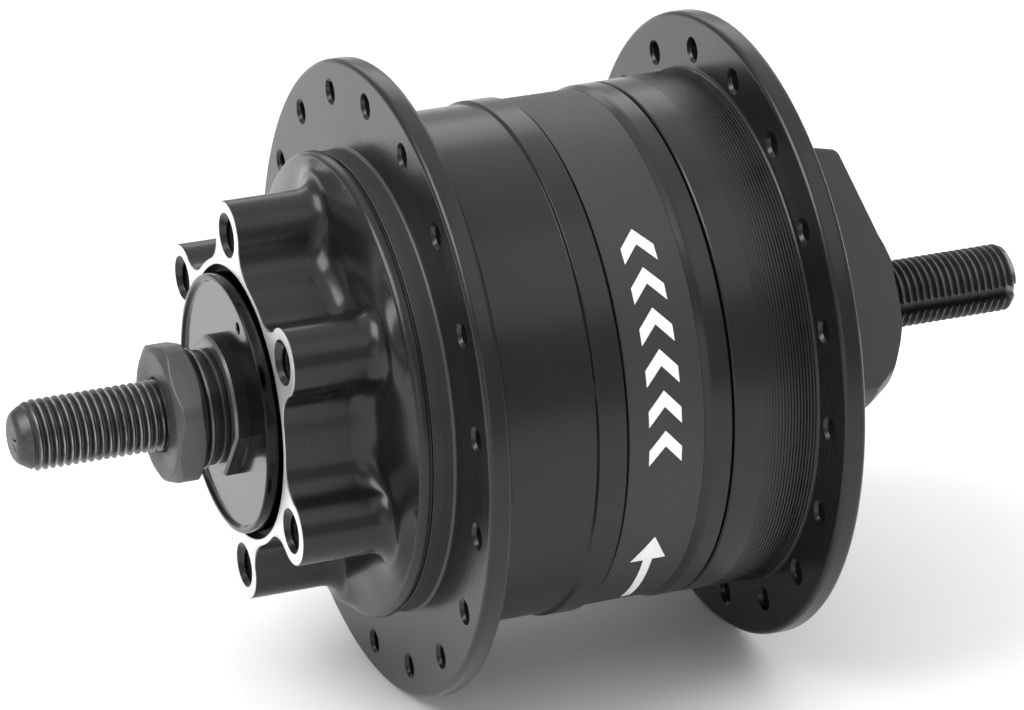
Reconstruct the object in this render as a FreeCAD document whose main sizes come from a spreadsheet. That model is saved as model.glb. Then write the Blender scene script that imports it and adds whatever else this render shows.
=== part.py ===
# Front hub generator for a disc-brake bicycle wheel.
#
# Frame: the axle lies along Y, +Z is up and the origin is the axle's middle.
# -Y is the disc-brake side and +Y is the connector side. Sizes are in mm.
# A "station" is a place along the axle, measured from the origin.
import FreeCAD, Part
import math
import os
import Sketcher

SHEET = "Sizes"
HEX_CORNER = 1 / math.sqrt(3)  # a hexagon's corner radius over its size across flats
CHAMFER_SLOPE = math.tan(math.radians(30))  # a nut's corners are turned off at 30 degrees
FULL_TURN = 360
OVERRUN = 1.0  # how far a cutting outline runs past the solid that it cuts
SKIN = 0.01  # the least overlap between an outline and the face that it starts from
ALONG = FreeCAD.Vector(0, 1, 0)
UP = FreeCAD.Vector(0, 0, 1)

SIZES = {
    # the axle and what is threaded on its disc side
    "axle_left_end": -69.0,
    "axle_right_end": 69.0,
    "axle_thread_radius": 4.5,
    "axle_core_radius": 5.5,
    "axle_core_start": -30.7,
    "axle_core_end": 27.5,
    "axle_tip_radius": 3.0,
    "axle_tip_length": 1.9,
    "axle_end_chamfer": 0.7,
    "axle_relief_radius": 4.1,
    "axle_relief_width": 0.6,
    "keyway_start": 20.5,
    "keyway_width": 1.8,
    "keyway_floor": 3.0,
    "keyway_turn": 7.0,
    "thread_gap": 0.02,
    "locknut_face": -50.0,
    "locknut_back": -46.0,
    "locknut_across_flats": 17.2,
    "locknut_face_radius": 8.05,
    "locknut_back_radius": 8.1,
    "locknut_corner_round": 3.6,
    "locknut_boss_radius": 6.7,
    "locknut_turn": -19.0,
    "washer_front": -45.3,
    "washer_back": -44.8,
    "washer_radius": 7.7,
    "spacer_radius": 7.35,
    "spacer_groove": 0.35,
    "spacer_groove_station": -43.5,
    "cone_front": -42.6,
    "cone_collar_radius": 9.0,
    "cone_collar_back": -40.7,
    "cone_chamfer": 0.35,
    "cone_flat_distance": 7.8,
    "cone_flat_turn": -55.0,
    "cone_neck_radius": 8.4,
    "cone_neck_back": -33.4,
    "cone_tip_radius": 6.0,
    "cover_lip_front": -41.2,
    "cover_face": -40.7,
    "cover_sheet": 0.5,
    "cover_radius": 16.6,
    "cover_lip_width": 1.1,
    "cover_lip_crest": 0.66,
    "cover_skirt_back": -38.2,
    "cover_vent_radius": 0.7,
    "cover_vent_place": 13.2,
    "cover_vent_angle": 68.0,
    # the disc-side bearing
    "left_track_station": -32.3,
    "left_pitch_radius": 8.2,
    "left_ball_radius": 2.381,
    "left_ball_count": 9,
    "left_cup_front": -35.0,
    "left_cup_back": -28.6,
    "left_cup_radius": 14.0,
    "left_cup_bore": 9.3,
    "left_cup_lip_radius": 7.6,
    "left_cup_lip_front": -29.9,
    "left_cage_inner": 8.6,
    "left_cage_outer": 9.1,
    "left_cage_front": -36.0,
    "left_cage_back": -31.2,
    "track_gap": 0.03,
    "cage_gap": 0.08,
    "left_seal_front": -37.8,
    "left_seal_bore": 8.7,
    # the hub shell: disc mount, disc-side flange and barrel
    "disc_face": -39.5,
    "disc_bore_radius": 17.5,
    "disc_bore_back": -36.4,
    "disc_web_radius": 18.5,
    "disc_bolt_circle_radius": 22.0,
    "disc_bolt_angle": 35.24,
    "disc_bolt_count": 6,
    "disc_bolt_hole_radius": 2.5,
    "disc_bolt_hole_depth": 12.0,
    "disc_bolt_countersink": 0.3,
    "disc_lobe_radius": 4.4,
    "disc_lobe_fillet": 4.5,
    "disc_root_fillet": 2.3,
    "base_front": -27.5,
    "base_radius": 30.0,
    "base_round": 1.2,
    "base_groove_front": -24.9,
    "base_groove_back": -24.3,
    "base_groove_radius": 29.3,
    "base_band_radius": 29.7,
    "flange_thickness": 3.0,
    "flange_rim_chamfer": 0.5,
    "flange_fillet": 1.6,
    "flange_outer_fillet": 0.9,
    "left_flange_face": -21.4,
    "left_flange_radius": 41.2,
    "left_spoke_circle_radius": 37.0,
    "left_spoke_angle": 10.8,
    "right_spoke_circle_radius": 36.45,
    "right_spoke_angle": 0.4,
    "spoke_hole_count": 18,
    "spoke_hole_radius": 1.3,
    "spoke_countersink": 0.45,
    "shell_stop_radius": 10.6,
    "shell_end_wall": -22.6,
    "shell_wall_knee_radius": 27.0,
    "shell_wall_knee": -19.6,
    "shell_bore_radius": 30.7,
    "barrel_radius": 33.05,
    "ring_step_front": -4.1,
    "ring_step_back": -3.8,
    "ring_radius": 33.45,
    "ring_back": -0.1,
    "band_front": 0.3,
    "band_back": 10.5,
    "band_radius": 33.0,
    "band_floor_radius": 32.5,
    "ramp_back": 11.5,
    "seam_front": 14.2,
    "seam_gap": 0.25,
    "seam_bevel": 0.2,
    "spigot_front": 11.0,
    "spigot_radius": 31.88,
    "spigot_gap": 0.02,
    # the right shell, with the connector-side flange
    "right_flange_face": 25.9,
    "right_flange_radius": 41.1,
    "right_barrel_radius": 33.6,
    "right_neck_station": 24.4,
    "right_neck_radius": 33.75,
    "right_dish_radius": 33.5,
    "right_slope_radius": 24.0,
    "right_slope_station": 31.6,
    "right_boss_radius": 20.3,
    "right_boss_front": 33.8,
    "right_boss_face": 35.6,
    "right_seal_radius": 17.0,
    "right_seal_seat": 33.8,
    "right_stop_radius": 12.2,
    "right_wall_station": 25.4,
    "right_wall_knee_radius": 28.5,
    "right_wall_knee": 23.4,
    # the connector-side bearing
    "right_track_station": 31.0,
    "right_pitch_radius": 11.0,
    "right_ball_radius": 1.984,
    "right_ball_count": 15,
    "right_cup_front": 28.4,
    "right_cup_back": 33.7,
    "right_cup_radius": 15.5,
    "right_cup_bore": 12.1,
    "right_cup_lip_radius": 10.4,
    "right_cup_lip_back": 29.0,
    "right_cone_hub_radius": 8.0,
    "right_cone_front": 29.5,
    "right_cone_tip_radius": 9.2,
    "right_cone_slope_back": 31.9,
    "right_cone_radius": 11.2,
    "right_cone_back": 36.0,
    "right_cage_inner": 11.4,
    "right_cage_outer": 11.9,
    "right_cage_front": 30.4,
    "right_cage_back": 34.4,
    "right_seal_front": 34.6,
    "right_seal_back": 35.4,
    "right_seal_bore": 11.5,
    "right_cover_radius": 16.4,
    "right_cover_sheet": 0.5,
    # the rotor magnets and their steel ring
    "rotor_half_length": 12.5,
    "yoke_ring_radius": 30.66,
    "magnet_radius": 28.7,
    "magnet_bore": 25.8,
    "magnet_half_length": 12.0,
    "magnet_sweep": 88.0,
    "magnet_count": 4,
    # the stator
    "claw_radius": 25.1,
    "claw_inner_radius": 22.3,
    "claw_outer_radius": 25.0,
    "claw_width": 3.4,
    "claw_count": 14,
    "claw_plate_thickness": 2.0,
    "claw_tip_gap": 1.0,
    "core_radius": 9.0,
    "bobbin_tube_radius": 10.0,
    "bobbin_flange_radius": 21.8,
    "bobbin_flange_thickness": 1.1,
    "winding_radius": 21.0,
    "stack_gap": 0.02,
    "stator_nut_across_flats": 16.0,
    "stator_nut_thickness": 4.0,
    "lead_radius": 0.6,
    "lead_exit_radius": 11.0,
    "lead_hole_radius": 0.9,
    "lead_dip_start": 18.5,
    "lead_dip_end": 24.0,
    "lead_groove_radius": 3.75,
    "lead_bend": 0.78,
    # the connector cap and its terminals
    "cap_front": 36.5,
    "cap_radius": 14.5,
    "cap_shoulder": 44.6,
    "cap_mid_radius": 12.6,
    "cap_mid_station": 47.4,
    "cap_top_radius": 10.2,
    "cap_top_station": 48.9,
    "cap_face": 49.6,
    "cap_face_radius": 8.9,
    "cap_half_width": 8.0,
    "cap_flat_front": 37.6,
    "arm_front": 36.5,
    "arm_turn": -28.0,
    "arm_top": 21.3,
    "arm_top_drop": 1.8,
    "arm_top_station": 44.8,
    "arm_root_height": 4.9,
    "arm_root_station": 49.2,
    "arm_round": 0.9,
    "socket_half_width": 6.0,
    "socket_front": 37.5,
    "socket_back": 41.75,
    "socket_floor": 5.0,
    "wire_way_inner": 4.45,
    "wire_way_outer": 6.0,
    "wire_way_floor": -4.6,
    "wire_turn_inner": 2.9,
    "wire_turn_top": -1.5,
    "wire_way_half": 0.9,
    "block_floor": 9.0,
    "block_top": 11.5,
    "blade_place": 4.75,
    "blade_width": 2.3,
    "blade_thickness": 0.7,
    "blade_floor": 7.0,
    "blade_top": 17.0,
    "nut_recess": 46.3,
    "right_nut_radius": 7.2,
    "right_nut_face": 50.0,
    "right_nut_chamfer": 0.5,
    "right_nut_slot_width": 2.0,
    "right_nut_slot_depth": 1.2,
}


class Size:
    """A length and the spreadsheet expression that it comes from."""

    def __init__(self, value, expression):
        self.value = float(value)
        self.expression = expression

    def __add__(self, other):
        other = as_size(other)
        return Size(self.value + other.value, f"({self.expression} + {other.expression})")

    def __sub__(self, other):
        other = as_size(other)
        return Size(self.value - other.value, f"({self.expression} - {other.expression})")

    def __mul__(self, factor):
        return Size(self.value * factor, f"({self.expression} * {factor:.9f})")

    def __neg__(self):
        return self * -1

    def __truediv__(self, divisor):
        return self * (1 / divisor)


def as_size(number):
    if isinstance(number, Size):
        return number
    return Size(number, f"({float(number):.6f})")


class Sheet:
    """Gives every cell of the sheet as a Size: sheet.flange_radius."""

    def __init__(self, doc):
        cells = doc.addObject("Spreadsheet::Sheet", SHEET)
        for row, (alias, value) in enumerate(SIZES.items(), start=1):
            cells.set(f"A{row}", alias)
            cells.set(f"B{row}", str(value))
            cells.setAlias(f"B{row}", alias)
            setattr(self, alias, Size(value, f"{SHEET}.{alias}"))


doc = FreeCAD.newDocument("hub_generator")
size = Sheet(doc)
doc.recompute()
parts = []


# ---------------------------------------------------------------- helpers

def new_body(label, station=0.0, turn=0.0):
    """An empty body whose own origin is on the axle at this station, turned about the axle."""
    body = doc.addObject("PartDesign::Body", label)
    body.Label = label
    station = as_size(station)
    turn = as_size(turn)
    body.Placement = FreeCAD.Placement(
        FreeCAD.Vector(0, station.value, 0), FreeCAD.Rotation(ALONG, turn.value))
    body.setExpression("Placement.Base.y", station.expression)
    body.setExpression("Placement.Rotation.Angle", turn.expression)
    parts.append(body)
    return body


def origin_feature(body, role):
    for feature in body.Origin.OriginFeatures:
        if feature.Role == role:
            return feature
    raise ValueError(role)


def new_sketch(body, name, role):
    sketch = body.newObject("Sketcher::SketchObject", name)
    sketch.AttachmentSupport = [(origin_feature(body, role), "")]
    sketch.MapMode = "FlatFace"
    return sketch


def pin(sketch, geometry, end, across, along):
    """Holds one end of a sketched line at a place given by two sizes."""
    for kind, wanted in (("DistanceX", across), ("DistanceY", along)):
        number = sketch.addConstraint(
            Sketcher.Constraint(kind, -1, 1, geometry, end, wanted.value))
        sketch.setExpression(f"Constraints[{number}]", wanted.expression)


def draw_outline(sketch, points):
    """A closed outline of straight lines through points given as two sizes each."""
    points = [(as_size(across), as_size(along)) for across, along in points]
    following = points[1:] + points[:1]
    lines = []
    for (across, along), (next_across, next_along) in zip(points, following):
        start = FreeCAD.Vector(across.value, along.value, 0)
        finish = FreeCAD.Vector(next_across.value, next_along.value, 0)
        lines.append(sketch.addGeometry(Part.LineSegment(start, finish)))
    for line, following_line in zip(lines, lines[1:] + lines[:1]):
        sketch.addConstraint(Sketcher.Constraint("Coincident", line, 2, following_line, 1))
    for line, (across, along) in zip(lines, points):
        pin(sketch, line, 1, across, along)


def draw_circle(sketch, across, along, radius):
    across, along, radius = as_size(across), as_size(along), as_size(radius)
    centre = FreeCAD.Vector(across.value, along.value, 0)
    circle = sketch.addGeometry(Part.Circle(centre, UP, radius.value))
    number = sketch.addConstraint(Sketcher.Constraint("Radius", circle, radius.value))
    sketch.setExpression(f"Constraints[{number}]", radius.expression)
    pin(sketch, circle, 3, across, along)


def bind(feature, name, wanted):
    wanted = as_size(wanted)
    setattr(feature, name, wanted.value)
    feature.setExpression(name, wanted.expression)


def on_circle(radius, angle):
    """The two sketch coordinates of a point on a circle about the axle."""
    turn = math.radians(angle.value)
    degrees = f"{angle.expression} * 1deg"
    across = Size(radius.value * math.cos(turn), f"({radius.expression} * cos({degrees}))")
    along = Size(radius.value * math.sin(turn), f"({radius.expression} * sin({degrees}))")
    return across, along


def add_turned(body, kind, name, station, outline, sweep=FULL_TURN):
    """Turns an outline of (radius, station) points about the axle, to add or to cut."""
    sketch = new_sketch(body, name + "_outline", "XY_Plane")
    draw_outline(sketch, [(radius, as_size(place) - station) for radius, place in outline])
    feature = body.newObject("PartDesign::" + kind, name)
    feature.Profile = sketch
    feature.ReferenceAxis = (sketch, ["V_Axis"])
    bind(feature, "Angle", sweep)
    body.Tip = feature
    return feature


def turned_part(label, station, outline, turn=0.0, sweep=FULL_TURN):
    station = as_size(station)
    body = new_body(label, station, turn)
    add_turned(body, "Revolution", "turning", station, outline, sweep)
    return body


def cut_track(body, station, pitch_radius, place, radius):
    """Cuts the round ball track that runs about the axle."""
    sketch = new_sketch(body, "track_outline", "XY_Plane")
    draw_circle(sketch, pitch_radius, as_size(place) - station, radius)
    track = body.newObject("PartDesign::Groove", "track")
    track.Profile = sketch
    track.ReferenceAxis = (sketch, ["V_Axis"])
    track.Angle = FULL_TURN
    body.Tip = track


def add_ball(body, kind, station, pitch_radius, place, radius):
    """One ball on the pitch circle, to add or to cut, made by turning a half circle."""
    sketch = new_sketch(body, "ball_outline", "XY_Plane")
    across, along, radius = pitch_radius, as_size(place) - station, as_size(radius)
    centre = FreeCAD.Vector(across.value, along.value, 0)
    half = math.pi / 2
    circle = Part.Circle(centre, UP, radius.value)
    arc = sketch.addGeometry(Part.ArcOfCircle(circle, -half, half))
    top = FreeCAD.Vector(across.value, along.value + radius.value, 0)
    bottom = FreeCAD.Vector(across.value, along.value - radius.value, 0)
    axis = sketch.addGeometry(Part.LineSegment(top, bottom))
    sketch.addConstraint(Sketcher.Constraint("Coincident", arc, 2, axis, 1))
    sketch.addConstraint(Sketcher.Constraint("Coincident", arc, 1, axis, 2))
    sketch.addConstraint(Sketcher.Constraint("Vertical", axis))
    sketch.addConstraint(Sketcher.Constraint("PointOnObject", arc, 3, axis))
    number = sketch.addConstraint(Sketcher.Constraint("Radius", arc, radius.value))
    sketch.setExpression(f"Constraints[{number}]", radius.expression)
    pin(sketch, arc, 3, across, along)
    feature = body.newObject("PartDesign::" + kind, "ball")
    feature.Profile = sketch
    feature.ReferenceAxis = (sketch, ["Edge2"])
    feature.Angle = FULL_TURN
    body.Tip = feature
    return feature


def repeat(body, feature, count, name="repeat"):
    """Repeats a feature evenly about the axle."""
    pattern = body.newObject("PartDesign::PolarPattern", name)
    pattern.Originals = [feature]
    pattern.Axis = (origin_feature(body, "Y_Axis"), [""])
    pattern.Angle = FULL_TURN
    pattern.Occurrences = int(count.value)
    pattern.setExpression("Occurrences", count.expression)
    body.Tip = pattern
    return pattern


def add_prism(body, kind, name, role, outline, length, both_ways=True, reverse=False, offset=None):
    """Pads or pockets an outline drawn on, or parallel to, one of the body's origin planes."""
    sketch = new_sketch(body, name + "_outline", role)
    outline(sketch)
    if offset is not None:
        lift = FreeCAD.Vector(0, 0, offset.value)
        sketch.AttachmentOffset = FreeCAD.Placement(lift, FreeCAD.Rotation())
        sketch.setExpression("AttachmentOffset.Base.z", offset.expression)
    feature = body.newObject("PartDesign::" + kind, name)
    feature.Profile = sketch
    bind(feature, "Length", length)
    feature.Midplane = both_ways
    feature.Reversed = reverse
    body.Tip = feature
    return feature


def add_upright(body, kind, name, outline, floor, top):
    """A prism that stands upright between two heights, to add or to cut."""
    floor = as_size(floor)
    add_prism(body, kind, name, "XY_Plane", outline, as_size(top) - floor,
              both_ways=False, reverse=kind == "Pocket", offset=floor)


def rectangle(low_across, high_across, low_along, high_along):
    def draw(sketch):
        draw_outline(sketch, [
            (low_across, low_along),
            (high_across, low_along),
            (high_across, high_along),
            (low_across, high_along),
        ])
    return draw


def circle_at(across, along, radius):
    def draw(sketch):
        draw_circle(sketch, across, along, radius)
    return draw


def hexagon(across_flats):
    """A hexagon about the axle with two corners on the sketch's first axis."""
    corner = across_flats * HEX_CORNER
    flat = across_flats / 2

    def draw(sketch):
        draw_outline(sketch, [
            (corner, 0),
            (corner / 2, flat),
            (-corner / 2, flat),
            (-corner, 0),
            (-corner / 2, -flat),
            (corner / 2, -flat),
        ])
    return draw


def dress(body, kind, amount_name, amount, name, chosen):
    """Fillets or chamfers those edges of the body so far that the test chooses."""
    doc.recompute()
    base = body.Tip
    if "Invalid" in base.State or base.Shape.isNull():
        raise RuntimeError(f"{body.Label}: {base.Label} failed before {name}")
    numbered = enumerate(base.Shape.Edges, start=1)
    edges = [f"Edge{number}" for number, edge in numbered if chosen(edge)]
    if not edges:
        raise ValueError(f"{body.Label}: no edge for {name}")
    feature = body.newObject("PartDesign::" + kind, name)
    feature.Base = (base, edges)
    bind(feature, amount_name, amount)
    body.Tip = feature
    return feature


def fillet(body, radius, name, chosen):
    return dress(body, "Fillet", "Radius", radius, name, chosen)


def chamfer(body, depth, name, chosen):
    return dress(body, "Chamfer", "Size", depth, name, chosen)


def is_circle(edge, radius, along):
    """True for an edge on a circle of this radius, in this body's own plane along the axle."""
    if not isinstance(edge.Curve, Part.Circle):
        return False
    same_radius = abs(edge.Curve.Radius - radius.value) < SKIN
    return same_radius and abs(edge.Curve.Center.y - along.value) < SKIN


def ring(bore, radius, front, back):
    return [(bore, front), (radius, front), (radius, back), (bore, back)]


def check_and_write():
    """Stops if any object failed, then writes one STEP file for each sub-part."""
    doc.recompute()
    for item in doc.Objects:
        bad = [word for word in item.State if word in ("Invalid", "Error")]
        if bad:
            raise RuntimeError(f"{item.Label}: {bad}")
    os.makedirs("parts", exist_ok=True)
    for part in parts:
        if part.Shape.isNull() or not part.Shape.isValid():
            raise RuntimeError(f"{part.Label}: shape is not valid")
        part.Shape.exportStep(os.path.join("parts", part.Label + ".step"))
        print(f"{part.Label}: {len(part.Shape.Solids)} solid(s), {part.Shape.Volume:.1f} mm3")


# ------------------------------------------------------- axle, disc side

thread_bore = size.axle_thread_radius + size.thread_gap


def make_axle():
    """A steel axle with threaded ends, a stouter middle and a wire groove on its connector side."""
    body = turned_part("axle", 0.0, [
        (0, size.axle_left_end),
        (size.axle_tip_radius, size.axle_left_end),
        (size.axle_thread_radius, size.axle_left_end + size.axle_tip_length),
        (size.axle_thread_radius, size.locknut_face),
        (size.axle_relief_radius, size.locknut_face),
        (size.axle_relief_radius, size.locknut_face + size.axle_relief_width),
        (size.axle_thread_radius, size.locknut_face + size.axle_relief_width),
        (size.axle_thread_radius, size.axle_core_start),
        (size.axle_core_radius, size.axle_core_start),
        (size.axle_core_radius, size.axle_core_end),
        (size.axle_thread_radius, size.axle_core_end),
        (size.axle_thread_radius, size.right_nut_face - size.axle_relief_width),
        (size.axle_relief_radius, size.right_nut_face - size.axle_relief_width),
        (size.axle_relief_radius, size.right_nut_face),
        (size.axle_thread_radius, size.right_nut_face),
        (size.axle_thread_radius, size.axle_right_end - size.axle_end_chamfer),
        (size.axle_thread_radius - size.axle_end_chamfer, size.axle_right_end),
        (0, size.axle_right_end),
    ], turn=size.keyway_turn)
    groove = rectangle(size.keyway_floor, size.axle_core_radius + OVERRUN,
                       size.keyway_start, size.axle_right_end + OVERRUN)
    add_prism(body, "Pocket", "keyway", "XY_Plane", groove, size.keyway_width)


def make_left_locknut():
    """The hexagonal nut whose face meets the fork end, with its corners turned off."""
    body = new_body("left_locknut", size.locknut_face, size.locknut_turn)
    depth = size.locknut_back - size.locknut_face
    outline = hexagon(size.locknut_across_flats)
    add_prism(body, "Pad", "hexagon", "XZ_Plane", outline, depth, both_ways=False, reverse=True)
    fillet(body, size.locknut_corner_round, "corner_rounds", is_along_axle)
    far = size.locknut_across_flats
    face_slope = (far - size.locknut_face_radius) * CHAMFER_SLOPE
    back_slope = (far - size.locknut_back_radius) * CHAMFER_SLOPE
    add_turned(body, "Groove", "face_chamfer", 0.0, [
        (size.locknut_face_radius, -SKIN),
        (far, -SKIN),
        (far, face_slope),
        (size.locknut_face_radius, SKIN),
    ])
    add_turned(body, "Groove", "back_chamfer", 0.0, [
        (size.locknut_back_radius, depth + SKIN),
        (far, depth + SKIN),
        (far, depth - back_slope),
        (size.locknut_back_radius, depth - SKIN),
    ])
    boss_end = size.washer_front - size.locknut_face
    boss = ring(0, size.locknut_boss_radius, depth / 2, boss_end)
    add_turned(body, "Revolution", "boss", 0.0, boss)
    bore = ring(0, thread_bore, -OVERRUN, boss_end + OVERRUN)
    add_turned(body, "Groove", "bore", 0.0, bore)


def is_along_axle(edge):
    """True for a straight edge that runs along the axle."""
    if not isinstance(edge.Curve, Part.Line):
        return False
    return abs(abs(edge.Curve.Direction.y) - 1) < 1e-6


def make_left_lock_washer():
    turned_part("left_lock_washer", size.washer_front, ring(
        thread_bore, size.washer_radius, size.washer_front, size.washer_back))


def make_left_spacer():
    """The spacer sleeve between washer and cone, with one fine groove round it."""
    groove_half = size.spacer_groove / 2
    turned_part("left_spacer", size.washer_back, [
        (thread_bore, size.washer_back),
        (size.spacer_radius, size.washer_back),
        (size.spacer_radius, size.spacer_groove_station - groove_half),
        (size.spacer_radius - size.spacer_groove, size.spacer_groove_station),
        (size.spacer_radius, size.spacer_groove_station + groove_half),
        (size.spacer_radius, size.cone_front),
        (thread_bore, size.cone_front),
    ])


def make_left_cone():
    """The inner bearing race: a collar with a spanner flat, a neck and the ball track."""
    station = size.cone_front
    body = turned_part("left_cone", station, [
        (thread_bore, size.cone_front),
        (size.cone_collar_radius - size.cone_chamfer, size.cone_front),
        (size.cone_collar_radius, size.cone_front + size.cone_chamfer),
        (size.cone_collar_radius, size.cone_collar_back),
        (size.cone_neck_radius, size.cone_collar_back),
        (size.cone_neck_radius, size.cone_neck_back),
        (size.cone_tip_radius, size.axle_core_start),
        (thread_bore, size.axle_core_start),
    ], turn=size.cone_flat_turn)
    track_radius = size.left_ball_radius + size.track_gap
    cut_track(body, station, size.left_pitch_radius, size.left_track_station, track_radius)
    wide = size.cone_collar_radius + OVERRUN
    depth = size.cone_collar_back - size.cone_front
    outline = rectangle(-wide, wide, -wide, -size.cone_flat_distance)
    add_prism(body, "Pocket", "spanner_flat", "XZ_Plane", outline, depth * 2)


def make_left_dust_cover():
    """A pressed steel cover with a raised lip, a skirt that enters the shell and a vent hole."""
    station = size.cover_lip_front
    bore = size.cone_neck_radius + size.thread_gap
    inner = size.cover_radius - size.cover_sheet
    body = turned_part("left_dust_cover", station, [
        (bore, size.cover_face),
        (size.cover_radius - size.cover_lip_width, size.cover_face),
        (size.cover_radius - size.cover_lip_crest, size.cover_lip_front),
        (size.cover_radius, size.cover_lip_front),
        (size.cover_radius, size.cover_skirt_back),
        (inner, size.cover_skirt_back),
        (inner, size.cover_face + size.cover_sheet),
        (bore, size.cover_face + size.cover_sheet),
    ])
    across, up = on_circle(size.cover_vent_place, size.cover_vent_angle)
    vent = circle_at(across, up, size.cover_vent_radius)
    through = size.cover_skirt_back - size.cover_lip_front
    add_prism(body, "Pocket", "vent", "XZ_Plane", vent, through * 2)


# ------------------------------------------------------------- bearings

def make_left_bearing():
    """Disc-side bearing: pressed cup, balls, ball retainer and rubber seal."""
    track_radius = size.left_ball_radius + size.track_gap
    cup = turned_part("left_bearing_cup", size.left_cup_front, [
        (size.left_cup_bore, size.left_cup_front),
        (size.left_cup_radius, size.left_cup_front),
        (size.left_cup_radius, size.left_cup_back),
        (size.left_cup_lip_radius, size.left_cup_back),
        (size.left_cup_lip_radius, size.left_cup_lip_front),
        (size.left_cup_bore, size.left_track_station),
    ])
    cut_track(cup, size.left_cup_front, size.left_pitch_radius, size.left_track_station, track_radius)
    make_balls("left_balls", size.left_track_station, size.left_pitch_radius,
               size.left_ball_radius, size.left_ball_count)
    cage = turned_part("left_ball_retainer", size.left_cage_front, ring(
        size.left_cage_inner, size.left_cage_outer, size.left_cage_front, size.left_cage_back))
    window = add_ball(cage, "Groove", size.left_cage_front, size.left_pitch_radius,
                      size.left_track_station, size.left_ball_radius + size.cage_gap)
    repeat(cage, window, size.left_ball_count)
    turned_part("left_seal", size.left_seal_front, ring(
        size.left_seal_bore, size.disc_bore_radius, size.left_seal_front, size.disc_bore_back))


def make_balls(label, station, pitch_radius, ball_radius, count):
    """A ring of separate steel balls in one sub-part."""
    body = new_body(label, station)
    ball = add_ball(body, "Revolution", station, pitch_radius, station, ball_radius)
    repeat(body, ball, count)


def make_right_bearing():
    """Connector-side bearing: cup, balls, retainer, seal and the cone that the balls run on."""
    track_radius = size.right_ball_radius + size.track_gap
    cup = turned_part("right_bearing_cup", size.right_cup_front, [
        (size.right_cup_lip_radius, size.right_cup_front),
        (size.right_cup_radius, size.right_cup_front),
        (size.right_cup_radius, size.right_cup_back),
        (size.right_cup_bore, size.right_cup_back),
        (size.right_cup_bore, size.right_track_station),
        (size.right_cup_lip_radius, size.right_cup_lip_back),
    ])
    cut_track(cup, size.right_cup_front, size.right_pitch_radius, size.right_track_station, track_radius)
    make_balls("right_balls", size.right_track_station, size.right_pitch_radius,
               size.right_ball_radius, size.right_ball_count)
    cage = turned_part("right_ball_retainer", size.right_cage_front, ring(
        size.right_cage_inner, size.right_cage_outer, size.right_cage_front, size.right_cage_back))
    window = add_ball(cage, "Groove", size.right_cage_front, size.right_pitch_radius,
                      size.right_track_station, size.right_ball_radius + size.cage_gap)
    repeat(cage, window, size.right_ball_count)
    turned_part("right_seal", size.right_seal_front, ring(
        size.right_seal_bore, size.right_seal_radius, size.right_seal_front, size.right_seal_back))
    cone = turned_part("right_cone", size.axle_core_end, [
        (thread_bore, size.axle_core_end),
        (size.right_cone_hub_radius, size.axle_core_end),
        (size.right_cone_hub_radius, size.right_cone_front),
        (size.right_cone_tip_radius, size.right_cone_front),
        (size.right_cone_radius, size.right_cone_slope_back),
        (size.right_cone_radius, size.right_cone_back),
        (thread_bore, size.right_cone_back),
    ])
    cut_track(cone, size.axle_core_end, size.right_pitch_radius, size.right_track_station, track_radius)


# ------------------------------------------------------------ hub shells

def make_hub_shell():
    """Disc mount, disc-side flange and barrel in one aluminium piece."""
    station = size.disc_face
    flange_back = size.left_flange_face + size.flange_thickness
    body = turned_part("hub_shell", station, [
        (size.disc_bore_radius, size.disc_face),
        (size.disc_web_radius, size.disc_face),
        (size.disc_web_radius, size.base_front),
        (size.base_radius, size.base_front),
        (size.base_radius, size.base_groove_front),
        (size.base_groove_radius, size.base_groove_front),
        (size.base_groove_radius, size.base_groove_back),
        (size.base_band_radius, size.base_groove_back),
        (size.base_band_radius, size.left_flange_face),
        (size.left_flange_radius, size.left_flange_face),
        (size.left_flange_radius, flange_back),
        (size.barrel_radius, flange_back),
        (size.barrel_radius, size.ring_step_front),
        (size.ring_radius, size.ring_step_back),
        (size.ring_radius, size.ring_back),
        (size.band_floor_radius, size.ring_back),
        (size.band_floor_radius, size.band_back),
        (size.band_radius, size.band_back),
        (size.ring_radius, size.ramp_back),
        (size.ring_radius, size.seam_front - size.seam_bevel),
        (size.ring_radius - size.seam_bevel, size.seam_front),
        (size.spigot_radius, size.seam_front),
        (size.spigot_radius, size.spigot_front),
        (size.shell_bore_radius, size.spigot_front),
        (size.shell_bore_radius, size.shell_wall_knee),
        (size.shell_wall_knee_radius, size.shell_end_wall),
        (size.shell_stop_radius, size.shell_end_wall),
        (size.shell_stop_radius, size.left_cup_back),
        (size.left_cup_radius, size.left_cup_back),
        (size.left_cup_radius, size.disc_bore_back),
        (size.disc_bore_radius, size.disc_bore_back),
    ])
    add_disc_lobes(body)
    smooth_disc_mount(body)
    back = flange_back - station
    front = size.left_flange_face - station
    round_flange(body, size.left_flange_radius, front, back)
    fillet(body, size.flange_fillet, "barrel_fillet",
           lambda edge: is_circle(edge, size.barrel_radius, back))
    fillet(body, size.flange_outer_fillet, "band_fillet",
           lambda edge: is_circle(edge, size.base_band_radius, front))
    drill_spoke_holes(body, size.left_spoke_circle_radius, size.left_spoke_angle, front, back)
    drill_disc_bolts(body)


def add_disc_lobes(body):
    """Six round lobes that run from the disc face into the shell's base."""
    across, up = on_circle(size.disc_bolt_circle_radius, size.disc_bolt_angle)
    length = size.base_front - size.disc_face + OVERRUN
    outline = circle_at(across, up, size.disc_lobe_radius)
    lobe = add_prism(body, "Pad", "lobe", "XZ_Plane", outline, length, both_ways=False, reverse=True)
    repeat(body, lobe, size.disc_bolt_count, "lobes")


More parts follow.
